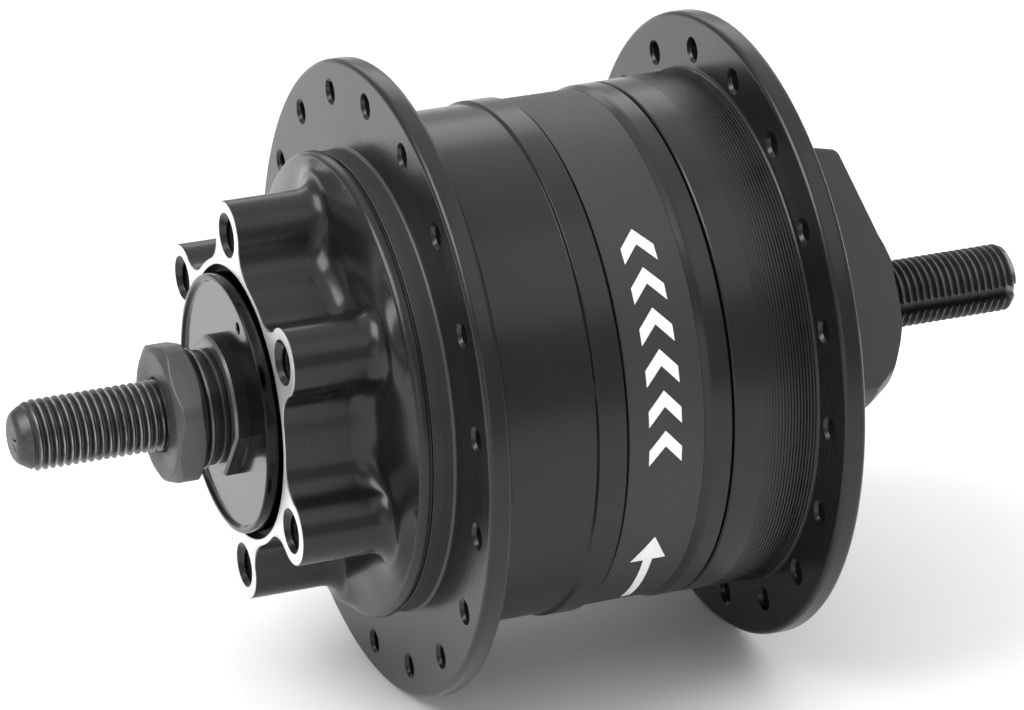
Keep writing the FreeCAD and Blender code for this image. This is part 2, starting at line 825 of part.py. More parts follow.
def smooth_disc_mount(body):
    """Fills the corners between lobes and web, and sweeps the mount out into the base."""
    base = size.base_front - size.disc_face

    def is_valley(edge):
        whole_length = edge.BoundBox.YMin < SKIN and edge.BoundBox.YMax > base.value - SKIN
        return is_along_axle(edge) and whole_length

    fillet(body, size.disc_lobe_fillet, "valleys", is_valley)

    def is_root(edge):
        middle = edge.valueAt((edge.FirstParameter + edge.LastParameter) / 2)
        in_plane = edge.BoundBox.YLength < SKIN and abs(edge.BoundBox.YMin - base.value) < SKIN
        inside_rim = math.hypot(middle.x, middle.z) < size.base_radius.value - OVERRUN
        return in_plane and inside_rim

    fillet(body, size.disc_root_fillet, "roots", is_root)
    fillet(body, size.base_round, "base_round", lambda edge: is_circle(edge, size.base_radius, base))


def round_flange(body, radius, front, back):
    """Breaks both edges of a flange's rim."""
    chamfer(body, size.flange_rim_chamfer, "rim_chamfer",
            lambda edge: is_circle(edge, radius, front) or is_circle(edge, radius, back))


def drill_spoke_holes(body, circle_radius, angle, front, back):
    """Spoke holes through a flange, countersunk on both faces."""
    across, up = on_circle(circle_radius, angle)
    outline = circle_at(across, up, size.spoke_hole_radius)
    through = size.axle_right_end - size.axle_left_end
    hole = add_prism(body, "Pocket", "spoke_hole", "XZ_Plane", outline, through)
    repeat(body, hole, size.spoke_hole_count, "spoke_holes")
    mouth = size.spoke_hole_radius
    chamfer(body, size.spoke_countersink, "spoke_countersinks",
            lambda edge: is_circle(edge, mouth, front) or is_circle(edge, mouth, back))


def drill_disc_bolts(body):
    """Blind threaded holes for the disc bolts, drawn at their thread's outer size."""
    across, up = on_circle(size.disc_bolt_circle_radius, size.disc_bolt_angle)
    outline = circle_at(across, up, size.disc_bolt_hole_radius)
    hole = add_prism(body, "Pocket", "bolt_hole", "XZ_Plane", outline, size.disc_bolt_hole_depth,
                     both_ways=False)
    repeat(body, hole, size.disc_bolt_count, "bolt_holes")
    chamfer(body, size.disc_bolt_countersink, "bolt_countersinks",
            lambda edge: is_circle(edge, size.disc_bolt_hole_radius, as_size(0)))


def make_right_shell():
    """Connector-side flange, the end of the barrel and the dished end wall."""
    station = size.spigot_front
    flange_back = size.right_flange_face + size.flange_thickness
    seam_back = size.seam_front + size.seam_gap
    spigot = size.spigot_radius - size.spigot_gap
    body = turned_part("right_shell", station, [
        (size.shell_bore_radius, size.spigot_front),
        (spigot, size.spigot_front),
        (spigot, seam_back),
        (size.ring_radius - size.seam_bevel, seam_back),
        (size.ring_radius, seam_back + size.seam_bevel),
        (size.right_barrel_radius, size.right_neck_station),
        (size.right_neck_radius, size.right_flange_face),
        (size.right_flange_radius, size.right_flange_face),
        (size.right_flange_radius, flange_back),
        (size.right_dish_radius, flange_back),
        (size.right_slope_radius, size.right_slope_station),
        (size.right_boss_radius, size.right_boss_front),
        (size.right_boss_radius, size.right_boss_face),
        (size.right_seal_radius, size.right_boss_face),
        (size.right_seal_radius, size.right_seal_seat),
        (size.right_cup_radius, size.right_seal_seat),
        (size.right_cup_radius, size.right_cup_front),
        (size.right_stop_radius, size.right_cup_front),
        (size.right_stop_radius, size.right_wall_station),
        (size.right_wall_knee_radius, size.right_wall_station),
        (size.shell_bore_radius, size.right_wall_knee),
    ])
    front = size.right_flange_face - station
    back = flange_back - station
    round_flange(body, size.right_flange_radius, front, back)
    fillet(body, size.flange_fillet, "barrel_fillet",
           lambda edge: is_circle(edge, size.right_neck_radius, front))
    drill_spoke_holes(body, size.right_spoke_circle_radius, size.right_spoke_angle, front, back)


def make_label_band():
    """The dark printed sleeve let into the barrel."""
    turned_part("label_band", size.band_front, ring(
        size.band_floor_radius, size.band_radius, size.band_front, size.band_back))


# ------------------------------------------------------ rotor and stator

def make_rotor():
    """A steel ring inside the shell and the curved magnets bonded to it."""
    half = size.rotor_half_length
    turned_part("magnet_yoke_ring", -half, ring(size.magnet_radius, size.yoke_ring_radius, -half, half))
    half = size.magnet_half_length
    for number in range(SIZES["magnet_count"]):
        turn = FULL_TURN / SIZES["magnet_count"] * number
        outline = ring(size.magnet_bore, size.magnet_radius, -half, half)
        turned_part(f"magnet_{number + 1}", -half, outline, turn=turn, sweep=size.magnet_sweep)


def make_claw_yoke(label, side, turn):
    """A steel plate with claws that reach over the coil; side is -1 or 1 along the axle."""
    outer = size.rotor_half_length * side
    inner = (size.rotor_half_length - size.claw_plate_thickness) * side
    body = turned_part(label, 0.0, ring(
        size.axle_core_radius + size.thread_gap, size.claw_radius, outer, inner), turn=turn)
    half_width = size.claw_width / 2
    outline = rectangle(size.claw_inner_radius, size.claw_outer_radius, -half_width, half_width)
    reach = size.rotor_half_length * 2 - size.claw_plate_thickness - size.claw_tip_gap
    claw = add_prism(body, "Pad", "claw", "XZ_Plane", outline, reach,
                     both_ways=False, reverse=side < 0, offset=-outer)
    repeat(body, claw, size.claw_count, "claws")
    return body


def make_stator():
    """Core, coil and claw yokes, clamped by a nut at each end."""
    inner = size.rotor_half_length - size.claw_plate_thickness
    bore = size.axle_core_radius + size.thread_gap
    turned_part("stator_core", -inner, ring(bore, size.core_radius, -inner, inner))
    tube_bore = size.core_radius + size.stack_gap
    flange = inner - size.stack_gap
    web = flange - size.bobbin_flange_thickness
    turned_part("coil_bobbin", -flange, [
        (tube_bore, -flange),
        (size.bobbin_flange_radius, -flange),
        (size.bobbin_flange_radius, -web),
        (size.bobbin_tube_radius, -web),
        (size.bobbin_tube_radius, web),
        (size.bobbin_flange_radius, web),
        (size.bobbin_flange_radius, flange),
        (tube_bore, flange),
    ])
    winding_bore = size.bobbin_tube_radius + size.stack_gap
    winding_end = web - size.stack_gap
    turned_part("coil_winding", -winding_end, ring(
        winding_bore, size.winding_radius, -winding_end, winding_end))
    make_claw_yoke("left_claw_yoke", -1, 0.0)
    half_pitch = FULL_TURN / SIZES["claw_count"] / 2
    right = make_claw_yoke("right_claw_yoke", 1, half_pitch)
    lead_turn = size.keyway_turn - half_pitch
    across, up = on_circle(size.lead_exit_radius, -lead_turn)
    hole = circle_at(across, up, size.lead_hole_radius)
    add_prism(right, "Pocket", "lead_hole", "XZ_Plane", hole, size.rotor_half_length + OVERRUN,
              both_ways=False)
    for label, station in (("left_stator_nut", -size.rotor_half_length - size.stator_nut_thickness),
                           ("right_stator_nut", size.rotor_half_length)):
        nut = new_body(label, station)
        add_prism(nut, "Pad", "hexagon", "XZ_Plane", hexagon(size.stator_nut_across_flats),
                  size.stator_nut_thickness, both_ways=False, reverse=True)
        add_turned(nut, "Groove", "bore", 0.0, ring(
            0, bore, -OVERRUN, size.stator_nut_thickness + OVERRUN))


def rounded_path(corners, bend):
    """A wire of straight runs joined by arcs of one bend radius."""
    edges = []
    start = corners[0]
    for before, corner, after in zip(corners, corners[1:], corners[2:]):
        towards = (before - corner).normalize()
        away = (after - corner).normalize()
        turn = math.pi - towards.getAngle(away)
        setback = bend * math.tan(turn / 2)
        enter = corner + towards * setback
        leave = corner + away * setback
        inward = (towards + away).normalize()
        centre = corner + inward * (bend / math.cos(turn / 2))
        middle = centre - inward * bend
        edges.append(Part.LineSegment(start, enter).toShape())
        edges.append(Part.Arc(enter, middle, leave).toShape())
        start = leave
    edges.append(Part.LineSegment(start, corners[-1]).toShape())
    return Part.Wire(edges)


def make_coil_lead():
    """The insulated wire that runs from the coil, along the axle's groove, to one terminal."""
    turn = math.radians(-size.keyway_turn.value)
    outwards = FreeCAD.Vector(math.cos(turn), 0, math.sin(turn))
    plate = size.rotor_half_length.value - size.claw_plate_thickness.value
    socket_middle = (size.socket_front.value + size.socket_back.value) / 2
    groove = size.lead_groove_radius.value
    exit_radius = size.lead_exit_radius.value
    way = (size.wire_way_inner.value + size.wire_way_outer.value) / 2
    lean = FreeCAD.Rotation(ALONG, size.arm_turn.value)
    across_arm = lean.multVec(FreeCAD.Vector(1, 0, 0))
    up_arm = lean.multVec(FreeCAD.Vector(0, 0, 1))
    way_radius = way / outwards.dot(across_arm)
    corners = [
        outwards * exit_radius + ALONG * plate,
        outwards * exit_radius + ALONG * size.lead_dip_start.value,
        outwards * groove + ALONG * size.lead_dip_end.value,
        outwards * groove + ALONG * socket_middle,
        outwards * way_radius + ALONG * socket_middle,
        across_arm * way + up_arm * size.blade_floor.value + ALONG * socket_middle,
    ]
    path = rounded_path(corners, size.lead_bend.value)
    section = Part.Wire([Part.Circle(corners[0], ALONG, size.lead_radius.value).toShape()])
    lead = doc.addObject("Part::Feature", "coil_lead")
    lead.Label = "coil_lead"
    lead.Shape = path.makePipeShell([section], True, False)
    lead.Placement = FreeCAD.Placement()
    parts.append(lead)


# ------------------------------------------------------- connector side

def make_right_dust_cover():
    """A flat steel washer that shields the connector-side seal."""
    front = size.right_cone_back
    turned_part("right_dust_cover", front, ring(
        thread_bore, size.right_cover_radius, front, front + size.right_cover_sheet))


def make_connector_cap():
    """The black cap that carries the lamp cable's socket: a dome with flats and an arm that leans back."""
    station = size.cap_front
    body = turned_part("connector_cap", station, [
        (0, size.cap_front),
        (size.cap_radius, size.cap_front),
        (size.cap_radius, size.cap_shoulder),
        (size.cap_mid_radius, size.cap_mid_station),
        (size.cap_top_radius, size.cap_top_station),
        (size.cap_face_radius, size.cap_face),
        (0, size.cap_face),
    ], size.arm_turn)

    def arm(sketch):
        draw_outline(sketch, [
            (size.arm_front - station, 0),
            (size.arm_root_station - station, 0),
            (size.arm_root_station - station, size.arm_root_height),
            (size.arm_top_station - station, size.arm_top - size.arm_top_drop),
            (size.arm_front - station, size.arm_top),
        ])

    add_prism(body, "Pad", "arm", "YZ_Plane", arm, size.cap_half_width * 2)
    half_width = size.cap_half_width
    wide = size.cap_radius + OVERRUN
    start = size.cap_flat_front - station
    finish = size.cap_face - station + OVERRUN
    for name, low, high in (("near_flat", half_width, wide), ("far_flat", -wide, -half_width)):
        add_prism(body, "Pocket", name, "XY_Plane", rectangle(low, high, start, finish), wide * 2)
    bend_height = size.arm_top.value - size.arm_top_drop.value

    def is_arm_bend(edge):
        across_arm = edge.BoundBox.XLength > half_width.value * 2 - SKIN
        return across_arm and abs(edge.BoundBox.ZMin - bend_height) < SKIN

    fillet(body, size.arm_round, "arm_round", is_arm_bend)
    recess = size.nut_recess - station
    end = size.cap_face - station
    seat_radius = size.right_nut_radius + size.thread_gap
    add_turned(body, "Groove", "nut_seat", 0.0, [
        (0, -OVERRUN),
        (thread_bore, -OVERRUN),
        (thread_bore, recess),
        (seat_radius, recess),
        (seat_radius, end + OVERRUN),
        (0, end + OVERRUN),
    ])
    socket_front = size.socket_front - station
    socket_back = size.socket_back - station
    socket_middle = (socket_front + socket_back) / 2
    top = size.arm_top + OVERRUN
    socket = rectangle(-size.socket_half_width, size.socket_half_width, socket_front, socket_back)
    add_upright(body, "Pocket", "socket", socket, size.socket_floor, top)
    wire_way = rectangle(size.wire_way_inner, size.wire_way_outer,
                         socket_middle - size.wire_way_half, socket_middle + size.wire_way_half)
    add_upright(body, "Pocket", "wire_way", wire_way, size.wire_way_floor, top)
    wire_turn = rectangle(size.wire_turn_inner, size.wire_way_outer,
                          socket_middle - size.wire_way_half, socket_middle + size.wire_way_half)
    add_upright(body, "Pocket", "wire_turn", wire_turn, size.wire_way_floor, size.wire_turn_top)


def make_terminals():
    """The insulating block in the socket and the two blades that stand through it."""
    middle = (size.socket_front + size.socket_back) / 2
    gap = size.thread_gap
    half_width = size.socket_half_width - gap
    half_depth = (size.socket_back - size.socket_front) / 2 - gap
    block = new_body("terminal_block", middle, size.arm_turn)
    outline = rectangle(-half_width, half_width, -half_depth, half_depth)
    add_upright(block, "Pad", "block", outline, size.block_floor, size.block_top)
    half_blade = size.blade_width / 2
    half_sheet = size.blade_thickness / 2
    for label, place in (("live_terminal", size.blade_place), ("ground_terminal", -size.blade_place)):
        slot = rectangle(place - half_blade - gap, place + half_blade + gap,
                         -half_sheet - gap, half_sheet + gap)
        add_upright(block, "Pocket", label + "_slot", slot,
                    size.block_floor - OVERRUN, size.block_top + OVERRUN)
        blade = new_body(label, middle, size.arm_turn)
        outline = rectangle(place - half_blade, place + half_blade, -half_sheet, half_sheet)
        add_upright(blade, "Pad", "blade", outline, size.blade_floor, size.blade_top)
        chamfer(blade, size.blade_thickness / 3, "blade_tip", is_blade_tip)


def is_blade_tip(edge):
    """True for the two long edges at a blade's upper end."""
    at_top = edge.BoundBox.ZMin > size.blade_top.value - SKIN
    return at_top and edge.BoundBox.XLength > size.blade_width.value - SKIN


def make_right_locknut():
    """The round nut let into the cap, with two spanner slots across its face."""
    station = size.nut_recess
    body = turned_part("right_locknut", station, [
        (thread_bore, size.nut_recess),
        (size.right_nut_radius, size.nut_recess),
        (size.right_nut_radius, size.right_nut_face - size.right_nut_chamfer),
        (size.right_nut_radius - size.right_nut_chamfer, size.right_nut_face),
        (thread_bore, size.right_nut_face),
    ])
    width = size.right_nut_slot_width
    face = size.right_nut_face - station
    floor = face - size.right_nut_slot_depth
    outer = size.right_nut_radius + OVERRUN
    inner = size.right_nut_radius - width
    for name, low, high in (("upper_slot", inner, outer), ("lower_slot", -outer, -inner)):
        slot = rectangle(floor, face + OVERRUN, low, high)
        add_prism(body, "Pocket", name, "YZ_Plane", slot, width)


make_axle()
make_left_locknut()
make_left_lock_washer()
make_left_spacer()
make_left_cone()
make_left_dust_cover()
make_left_bearing()
make_right_bearing()
make_hub_shell()
make_right_shell()
make_label_band()
make_rotor()
make_stator()
make_coil_lead()
make_right_dust_cover()
make_connector_cap()
make_terminals()
make_right_locknut()
check_and_write()
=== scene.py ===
import functools
import math
import bmesh
import bpy
import numpy as np
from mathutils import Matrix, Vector


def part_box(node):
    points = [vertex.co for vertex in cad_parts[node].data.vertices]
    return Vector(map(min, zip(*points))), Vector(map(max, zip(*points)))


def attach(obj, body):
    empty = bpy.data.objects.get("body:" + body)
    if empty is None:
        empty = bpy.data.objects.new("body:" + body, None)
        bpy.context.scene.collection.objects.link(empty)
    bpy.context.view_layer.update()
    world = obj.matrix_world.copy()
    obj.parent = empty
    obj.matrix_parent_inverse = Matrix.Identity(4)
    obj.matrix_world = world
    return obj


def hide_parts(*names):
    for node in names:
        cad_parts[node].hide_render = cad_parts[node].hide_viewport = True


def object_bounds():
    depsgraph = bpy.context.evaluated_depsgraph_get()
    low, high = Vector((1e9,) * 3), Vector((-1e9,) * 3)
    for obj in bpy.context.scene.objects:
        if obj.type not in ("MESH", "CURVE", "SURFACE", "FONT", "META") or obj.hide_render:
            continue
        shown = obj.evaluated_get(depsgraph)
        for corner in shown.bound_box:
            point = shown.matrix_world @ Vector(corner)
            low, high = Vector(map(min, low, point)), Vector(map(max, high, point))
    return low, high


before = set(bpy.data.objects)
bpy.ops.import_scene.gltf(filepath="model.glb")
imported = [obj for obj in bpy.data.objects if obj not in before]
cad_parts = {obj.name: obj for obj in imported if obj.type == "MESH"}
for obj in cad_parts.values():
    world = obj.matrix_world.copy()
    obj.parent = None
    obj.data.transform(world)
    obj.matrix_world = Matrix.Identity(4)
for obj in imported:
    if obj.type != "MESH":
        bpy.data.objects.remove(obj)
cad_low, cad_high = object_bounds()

# Front hub generator. The axle lies along Y, +Z is up and the origin is the axle's middle.
# Sizes are in millimetres and become metres in build_mesh. A "station" is a place along Y.
# An angle is counted about the axle, from +X towards +Z, in degrees.
MM = 0.001
FULL_TURN = 360.0


# ---------------- places from the frame

@functools.cache
def span(node):
    """A round node's disc-side station, connector-side station and largest radius."""
    low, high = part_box(node)
    return low.y / MM, high.y / MM, high.z / MM


def front(node):
    return span(node)[0]


def back(node):
    return span(node)[1]


def radius(node):
    return span(node)[2]


# ---------------- mesh tools

def unit(vector):
    return vector / np.linalg.norm(vector)


def corner_arc(before, corner, after, size, steps):
    """The points of an arc that replaces a corner of an outline."""
    room = 0.49 * min(np.linalg.norm(before - corner), np.linalg.norm(after - corner))
    if size <= 0 or room < 1e-6:
        return [corner] * (steps + 1)
    towards = unit(before - corner)
    away = unit(after - corner)
    angle = math.acos(max(-1.0, min(1.0, float(towards @ away))))
    if not 0.03 < angle < math.pi - 0.03:
        return [corner] * (steps + 1)
    setback = min(size / math.tan(angle / 2), room)
    centre = corner + unit(towards + away) * (setback / math.cos(angle / 2))
    first = corner + towards * setback - centre
    last = corner + away * setback - centre
    sweep = math.pi - angle
    shares = np.linspace(0, 1, steps + 1)
    spread = math.sin(sweep)
    first_weights = np.sin((1 - shares) * sweep) / spread
    last_weights = np.sin(shares * sweep) / spread
    return [centre + first * near + last * far for near, far in zip(first_weights, last_weights)]


def rounded(corners, steps=4, closed=True):
    """An outline of (station, radius) or (station, radius, rounding) corners, the rounded ones as arcs."""
    places = [np.array(corner[:2], float) for corner in corners]
    outline = []
    for index, corner in enumerate(corners):
        size = corner[2] if len(corner) > 2 else 0.0
        at_end = not closed and index in (0, len(corners) - 1)
        if size == 0 or at_end:
            outline.append(places[index])
            continue
        before = places[index - 1]
        after = places[(index + 1) % len(places)]
        outline.extend(corner_arc(before, places[index], after, size, steps))
    return np.array(outline)


def even_angles(count):
    return np.arange(count) * FULL_TURN / count


class Shape:
    """Points in millimetres and the faces between them."""

    def __init__(self):
        self.points = []
        self.faces = []

    def count(self):
        return sum(len(block) for block in self.points)

    def add_grid(self, grid, around=True, closed=True, shift=0):
        """Joins a grid of points, [column][row], to faces. around closes it about the columns,
        closed closes each column on itself, and shift moves the rows on where the columns close."""
        grid = np.asarray(grid, float)
        columns, rows = grid.shape[:2]
        start = self.count()
        self.points.append(grid.reshape(-1, 3))
        for column in range(columns if around else columns - 1):
            following = (column + 1) % columns
            step = shift if column == columns - 1 else 0
            for row in range(rows if closed else rows - 1 - step):
                above = (row + 1) % rows
                near, far = start + column * rows, start + following * rows
                ahead = (far + (above + step) % rows, far + (row + step) % rows)
                self.faces.append((near + row, near + above, *ahead))
        return self

    def add_face(self, points):
        start = self.count()
        self.points.append(np.asarray(points, float))
        self.faces.append(tuple(range(start, start + len(points))))
        return self


def turned_grid(angles, outline_at):
    """A grid whose column at each angle is the outline (station, radius) that outline_at gives there."""
    columns = []
    for angle in angles:
        outline = outline_at(angle)
        turn = math.radians(angle)
        stations, radii = outline[:, 0], outline[:, 1]
        columns.append(np.column_stack((radii * math.cos(turn), stations, radii * math.sin(turn))))
    return np.array(columns)


def lathe(corners, count=192, steps=4, closed=True):
    """A shape turned about the axle from an outline. An open outline starts and ends on the axle."""
    outline = rounded(corners, steps, closed)
    return Shape().add_grid(turned_grid(even_angles(count), lambda angle: outline), closed=closed)


def moved(shape, across, up):
    """The shape with its own axis moved to another line along Y."""
    shape.points = [block + np.array((across, 0, up)) for block in shape.points]
    return shape


def turned(shape, angle):
    """The shape turned about the axle, from +X towards +Z."""
    across, up = on_circle(1.0, angle)
    turn = np.array(((across, 0, up), (0, 1, 0), (-up, 0, across)))
    shape.points = [block @ turn for block in shape.points]
    return shape


def on_circle(reach, angle):
    turn = math.radians(angle)
    return reach * math.cos(turn), reach * math.sin(turn)


WELD = 2e-6
SHARP = 32.0


def build_mesh(name, shapes):
    """One mesh of several shapes, its coincident points welded and its faces turned outwards."""
    whole = Shape()
    for shape in shapes:
        start = whole.count()
        whole.points.extend(shape.points)
        whole.faces.extend([tuple(start + corner for corner in face) for face in shape.faces])
    mesh = bpy.data.meshes.new(name)
    mesh.from_pydata((np.concatenate(whole.points) * MM).tolist(), [], whole.faces)
    edit = bmesh.new()
    edit.from_mesh(mesh)
    bmesh.ops.remove_doubles(edit, verts=edit.verts, dist=WELD)
    bmesh.ops.dissolve_degenerate(edit, edges=edit.edges, dist=WELD / 4)
    bmesh.ops.recalc_face_normals(edit, faces=edit.faces)
    edit.to_mesh(mesh)
    edit.free()
    return mesh


def new_object(name, data):
    piece = bpy.data.objects.new(name, data)
    bpy.context.scene.collection.objects.link(piece)
    return piece


def carve(piece, shapes):
    """Cuts closed shapes out of a piece."""
    cutter = new_object("cutter", build_mesh("cutter", shapes))
    modifier = piece.modifiers.new("cut", "BOOLEAN")
    modifier.operation = "DIFFERENCE"
    modifier.solver = "EXACT"
    modifier.object = cutter
    graph = bpy.context.evaluated_depsgraph_get()
    mesh = bpy.data.meshes.new_from_object(piece.evaluated_get(graph))
    piece.modifiers.clear()
    old = piece.data
    piece.data = mesh
    mesh.name = old.name + "_cut"
    for spent in (old, cutter.data):
        bpy.data.meshes.remove(spent)


def finish_shading(piece, sharp=SHARP):
    mesh = piece.data
    mesh.shade_smooth()
    mesh.set_sharp_from_angle(angle=math.radians(sharp))
    weigh = piece.modifiers.new("weigh_normals", "WEIGHTED_NORMAL")
    weigh.keep_sharp = True


def new_piece(name, shapes, finishes, body, nodes=(), cuts=(), sharp=SHARP, paint=None):
    """A finished piece: its mesh, holes, materials by name, and what it rides on and stands for.
    cuts is a list of groups; the cutters of one group stay clear of each other.
    paint gives the number of a face's material."""
    piece = new_object(name, build_mesh(name, shapes))
    for group in cuts:
        carve(piece, group)
    for finish in finishes:
        piece.data.materials.append(material(finish))
    if paint:
        for face in piece.data.polygons:
            face.material_index = paint(face)
    finish_shading(piece, sharp)
    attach(piece, body)
    if nodes:
        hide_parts(*nodes)
    return piece


def ring_piece(name, node, inner, rounds, count, finish, body):
    """A plain ring of a node's own size, its two outer edges rounded."""
    start, end, reach = span(node)
    outline = [(start, inner), (start, reach, rounds[0]), (end, reach, rounds[1]), (end, inner)]
    return new_piece(name, [lathe(outline, count)], [finish], body, [node])


HOLE_COUNT = 40
FINE_COUNT = 384
OVERRUN = 1.0


def hole_cutter(start, end, hole_radius, mouth, place):
    """A round cutter between two stations, opened out at both ends by a countersink."""
    wide = hole_radius + mouth + OVERRUN
    return moved(lathe([
        (start - OVERRUN, 0), (start - OVERRUN, wide), (start + mouth, hole_radius, mouth / 2),
        (end - mouth, hole_radius, mouth / 2), (end + OVERRUN, wide), (end + OVERRUN, 0),
    ], HOLE_COUNT, closed=False), *place)


# ---------------- threads

CREST_SHARE = 0.13
ROOT_SHARE = 0.20
FLANK_SHARE = (1 - CREST_SHARE - ROOT_SHARE) / 2
ROOT_START = CREST_SHARE + FLANK_SHARE
# The thread's outline over one pitch: (share of the pitch, share of the depth under the crest) points.
THREAD_OUTLINE = [(0.0, 0.0), (CREST_SHARE, 0.0), (CREST_SHARE + FLANK_SHARE / 2, 0.5), (ROOT_START, 1.0),
                  (ROOT_START + ROOT_SHARE, 1.0), (1 - FLANK_SHARE / 2, 0.5)]


class Column:
    """One column of a bar's grid: its share of a turn in the sense of a right-hand thread.
    A keyway's columns stand at an offset from its middle line, on the round or on the keyway's floor."""

    def __init__(self, share, middle=None, offset=0.0, on_floor=False):
        self.share = share
        self.middle = middle
        self.offset = offset
        self.on_floor = on_floor

    def place(self, reach, floor=None):
        """The point across the axle at a radius, with the keyway cut where a floor is given."""
        if self.middle is None or reach == 0:
            return on_circle(reach, -self.share * FULL_TURN)
        depth = math.sqrt(reach * reach - self.offset * self.offset)
        if self.on_floor and floor is not None:
            depth = floor
        along, aside = on_circle(1.0, self.middle)
        return depth * along + self.offset * aside, depth * aside - self.offset * along


def keyed_columns(count, middle, half_width, reach, clear):
    """Columns of a bar with a keyway, clear degrees free of other columns on each side of it."""
    start = -middle / FULL_TURN
    edge = math.degrees(math.asin(half_width / reach)) / FULL_TURN
    walls = [(-1, False), (-1, True), (0, True), (1, True), (1, False)]
    columns = [Column(start + side * edge, middle, side * half_width, on_floor) for side, on_floor in walls]
    gap = clear / FULL_TURN
    columns += [Column(start + gap + index / count * (1 - 2 * gap)) for index in range(count + 1)]
    return columns


def plain_columns(count):
    return [Column(index / count) for index in range(count)]


def bar(columns, outline, floor=None):
    """A stretch of a round bar from an outline of (station, radius) points."""
    grid = []
    for column in columns:
        places = [(station, column.place(reach, floor)) for station, reach in outline]
        grid.append([(across, station, up) for station, (across, up) in places])
    return Shape().add_grid(grid, closed=False)


def thread(columns, start, end, pitch, depth, crest, limit, floor=None):
    """A right-hand thread between two stations. limit gives the final radius from a station and the
    thread's own radius there, and has to give a single radius at each end."""
    turns = range(-2, math.ceil((end - start) / pitch) + 2)
    steps = [(turn + share, crest - depth * under) for turn in turns for share, under in THREAD_OUTLINE]
    grid = []
    for column in columns:
        line = []
        for step, reach in steps:
            station = min(max(start + (step + column.share) * pitch, start), end)
            across, up = column.place(limit(station, reach), floor)
            line.append((across, station, up))
        grid.append(line)
    return Shape().add_grid(grid, closed=False, shift=len(THREAD_OUTLINE))


# ---------------- materials

class Paint:
    """A node material. Colours and numbers that are the same all over sit on the shader itself."""

    def __init__(self, name, **values):
        self.material = bpy.data.materials.new(name)
        self.material.use_nodes = True
        self.tree = self.material.node_tree
        self.shader = self.tree.nodes["Principled BSDF"]
        for key, value in values.items():
            self.shader.inputs[key.replace("_", " ")].default_value = value
        self.place = self.node("ShaderNodeTexCoord").outputs["Object"]

    def node(self, kind, **inputs):
        made = self.tree.nodes.new(kind)
        for key, value in inputs.items():
            self.feed(made.inputs[key], value)
        return made

    def feed(self, socket, value):
        if isinstance(value, bpy.types.NodeSocket):
            self.tree.links.new(value, socket)
        else:
            socket.default_value = value

    def maths(self, operation, *values, clamp=False):
        made = self.node("ShaderNodeMath")
        made.operation = operation
        made.use_clamp = clamp
        for socket, value in zip(made.inputs, values):
            self.feed(socket, value)
        return made.outputs[0]

    def plus(self, first, second):
        return self.maths("ADD", first, second)

    def times(self, first, second, clamp=False):
        return self.maths("MULTIPLY", first, second, clamp=clamp)

    def across_along_up(self, vector):
        return self.node("ShaderNodeSeparateXYZ", Vector=vector).outputs

    def reach(self):
        """The distance from the axle, in metres."""
        across, _, up = self.across_along_up(self.place)
        return self.maths("SQRT", self.plus(self.times(across, across), self.times(up, up)))

    def along(self):
        """The station, in metres."""
        return self.across_along_up(self.place)[1]

    def round_place(self, ring_scale, length_scale):
        """Coordinates (radius, station) about the axle, each with its own scale per metre."""
        joined = self.node("ShaderNodeCombineXYZ")
        self.feed(joined.inputs[0], self.times(self.reach(), ring_scale))
        self.feed(joined.inputs[1], self.times(self.along(), length_scale))
        return joined.outputs[0]

    def facing_front(self, low, high):
        """0 to 1 as the surface turns towards the disc side."""
        normal = self.node("ShaderNodeNewGeometry").outputs["Normal"]
        return self.range(self.times(self.across_along_up(normal)[1], -1.0), low, high)

    def noise(self, vector, scale, detail=3.0, rough=0.5):
        made = self.node("ShaderNodeTexNoise", Vector=vector, Scale=scale, Detail=detail, Roughness=rough)
        return made.outputs["Fac"]

    def range(self, value, low, high, to_low=0.0, to_high=1.0):
        ends = {"From Min": low, "From Max": high, "To Min": to_low, "To Max": to_high}
        return self.node("ShaderNodeMapRange", Value=value, **ends).outputs[0]

    def spread(self, noise, low, high):
        """A noise stretched from its usual middle part to a range."""
        return self.range(noise, 0.3, 0.7, low, high)

    def blend(self, amount, first, second):
        made = self.node("ShaderNodeMix")
        made.data_type = "RGBA"
        for socket, value in (("Factor", amount), ("A", first), ("B", second)):
            self.feed(made.inputs[socket], value)
        return made.outputs["Result"]

    def bump(self, height, distance, strength=1.0):
        made = self.node("ShaderNodeBump", Height=height, Distance=distance, Strength=strength)
        self.feed(self.shader.inputs["Normal"], made.outputs[0])

    def colour(self, value):
        self.feed(self.shader.inputs["Base Color"], value)

    def rough(self, value):
        self.feed(self.shader.inputs["Roughness"], value)


def grey(level, warm=0.0):
    """An opaque grey, a little warmer or cooler."""
    return (level * (1 + warm), level, level * (1 - warm), 1.0)


def grained(name, colours, grain, roughness, relief, rings=None, cloud=None, clouded="colour", **values):
    """A material of one noise, grain (scale, detail, coarseness), which runs in rings about the axle where
    rings gives its scales. It drives the colour, the roughness and the relief (distance in metres,
    strength). A soft noise of the scale cloud takes over what clouded names."""
    paint = Paint(name, **values)
    fine = paint.noise(paint.round_place(*rings) if rings else paint.place, *grain)
    soft = paint.noise(paint.place, cloud) if cloud else fine
    paint.colour(paint.blend(soft if clouded == "colour" else fine, *colours))
    paint.rough(paint.spread(soft if clouded == "roughness" else fine, *roughness))
    paint.bump(fine, *relief)
    return paint.material


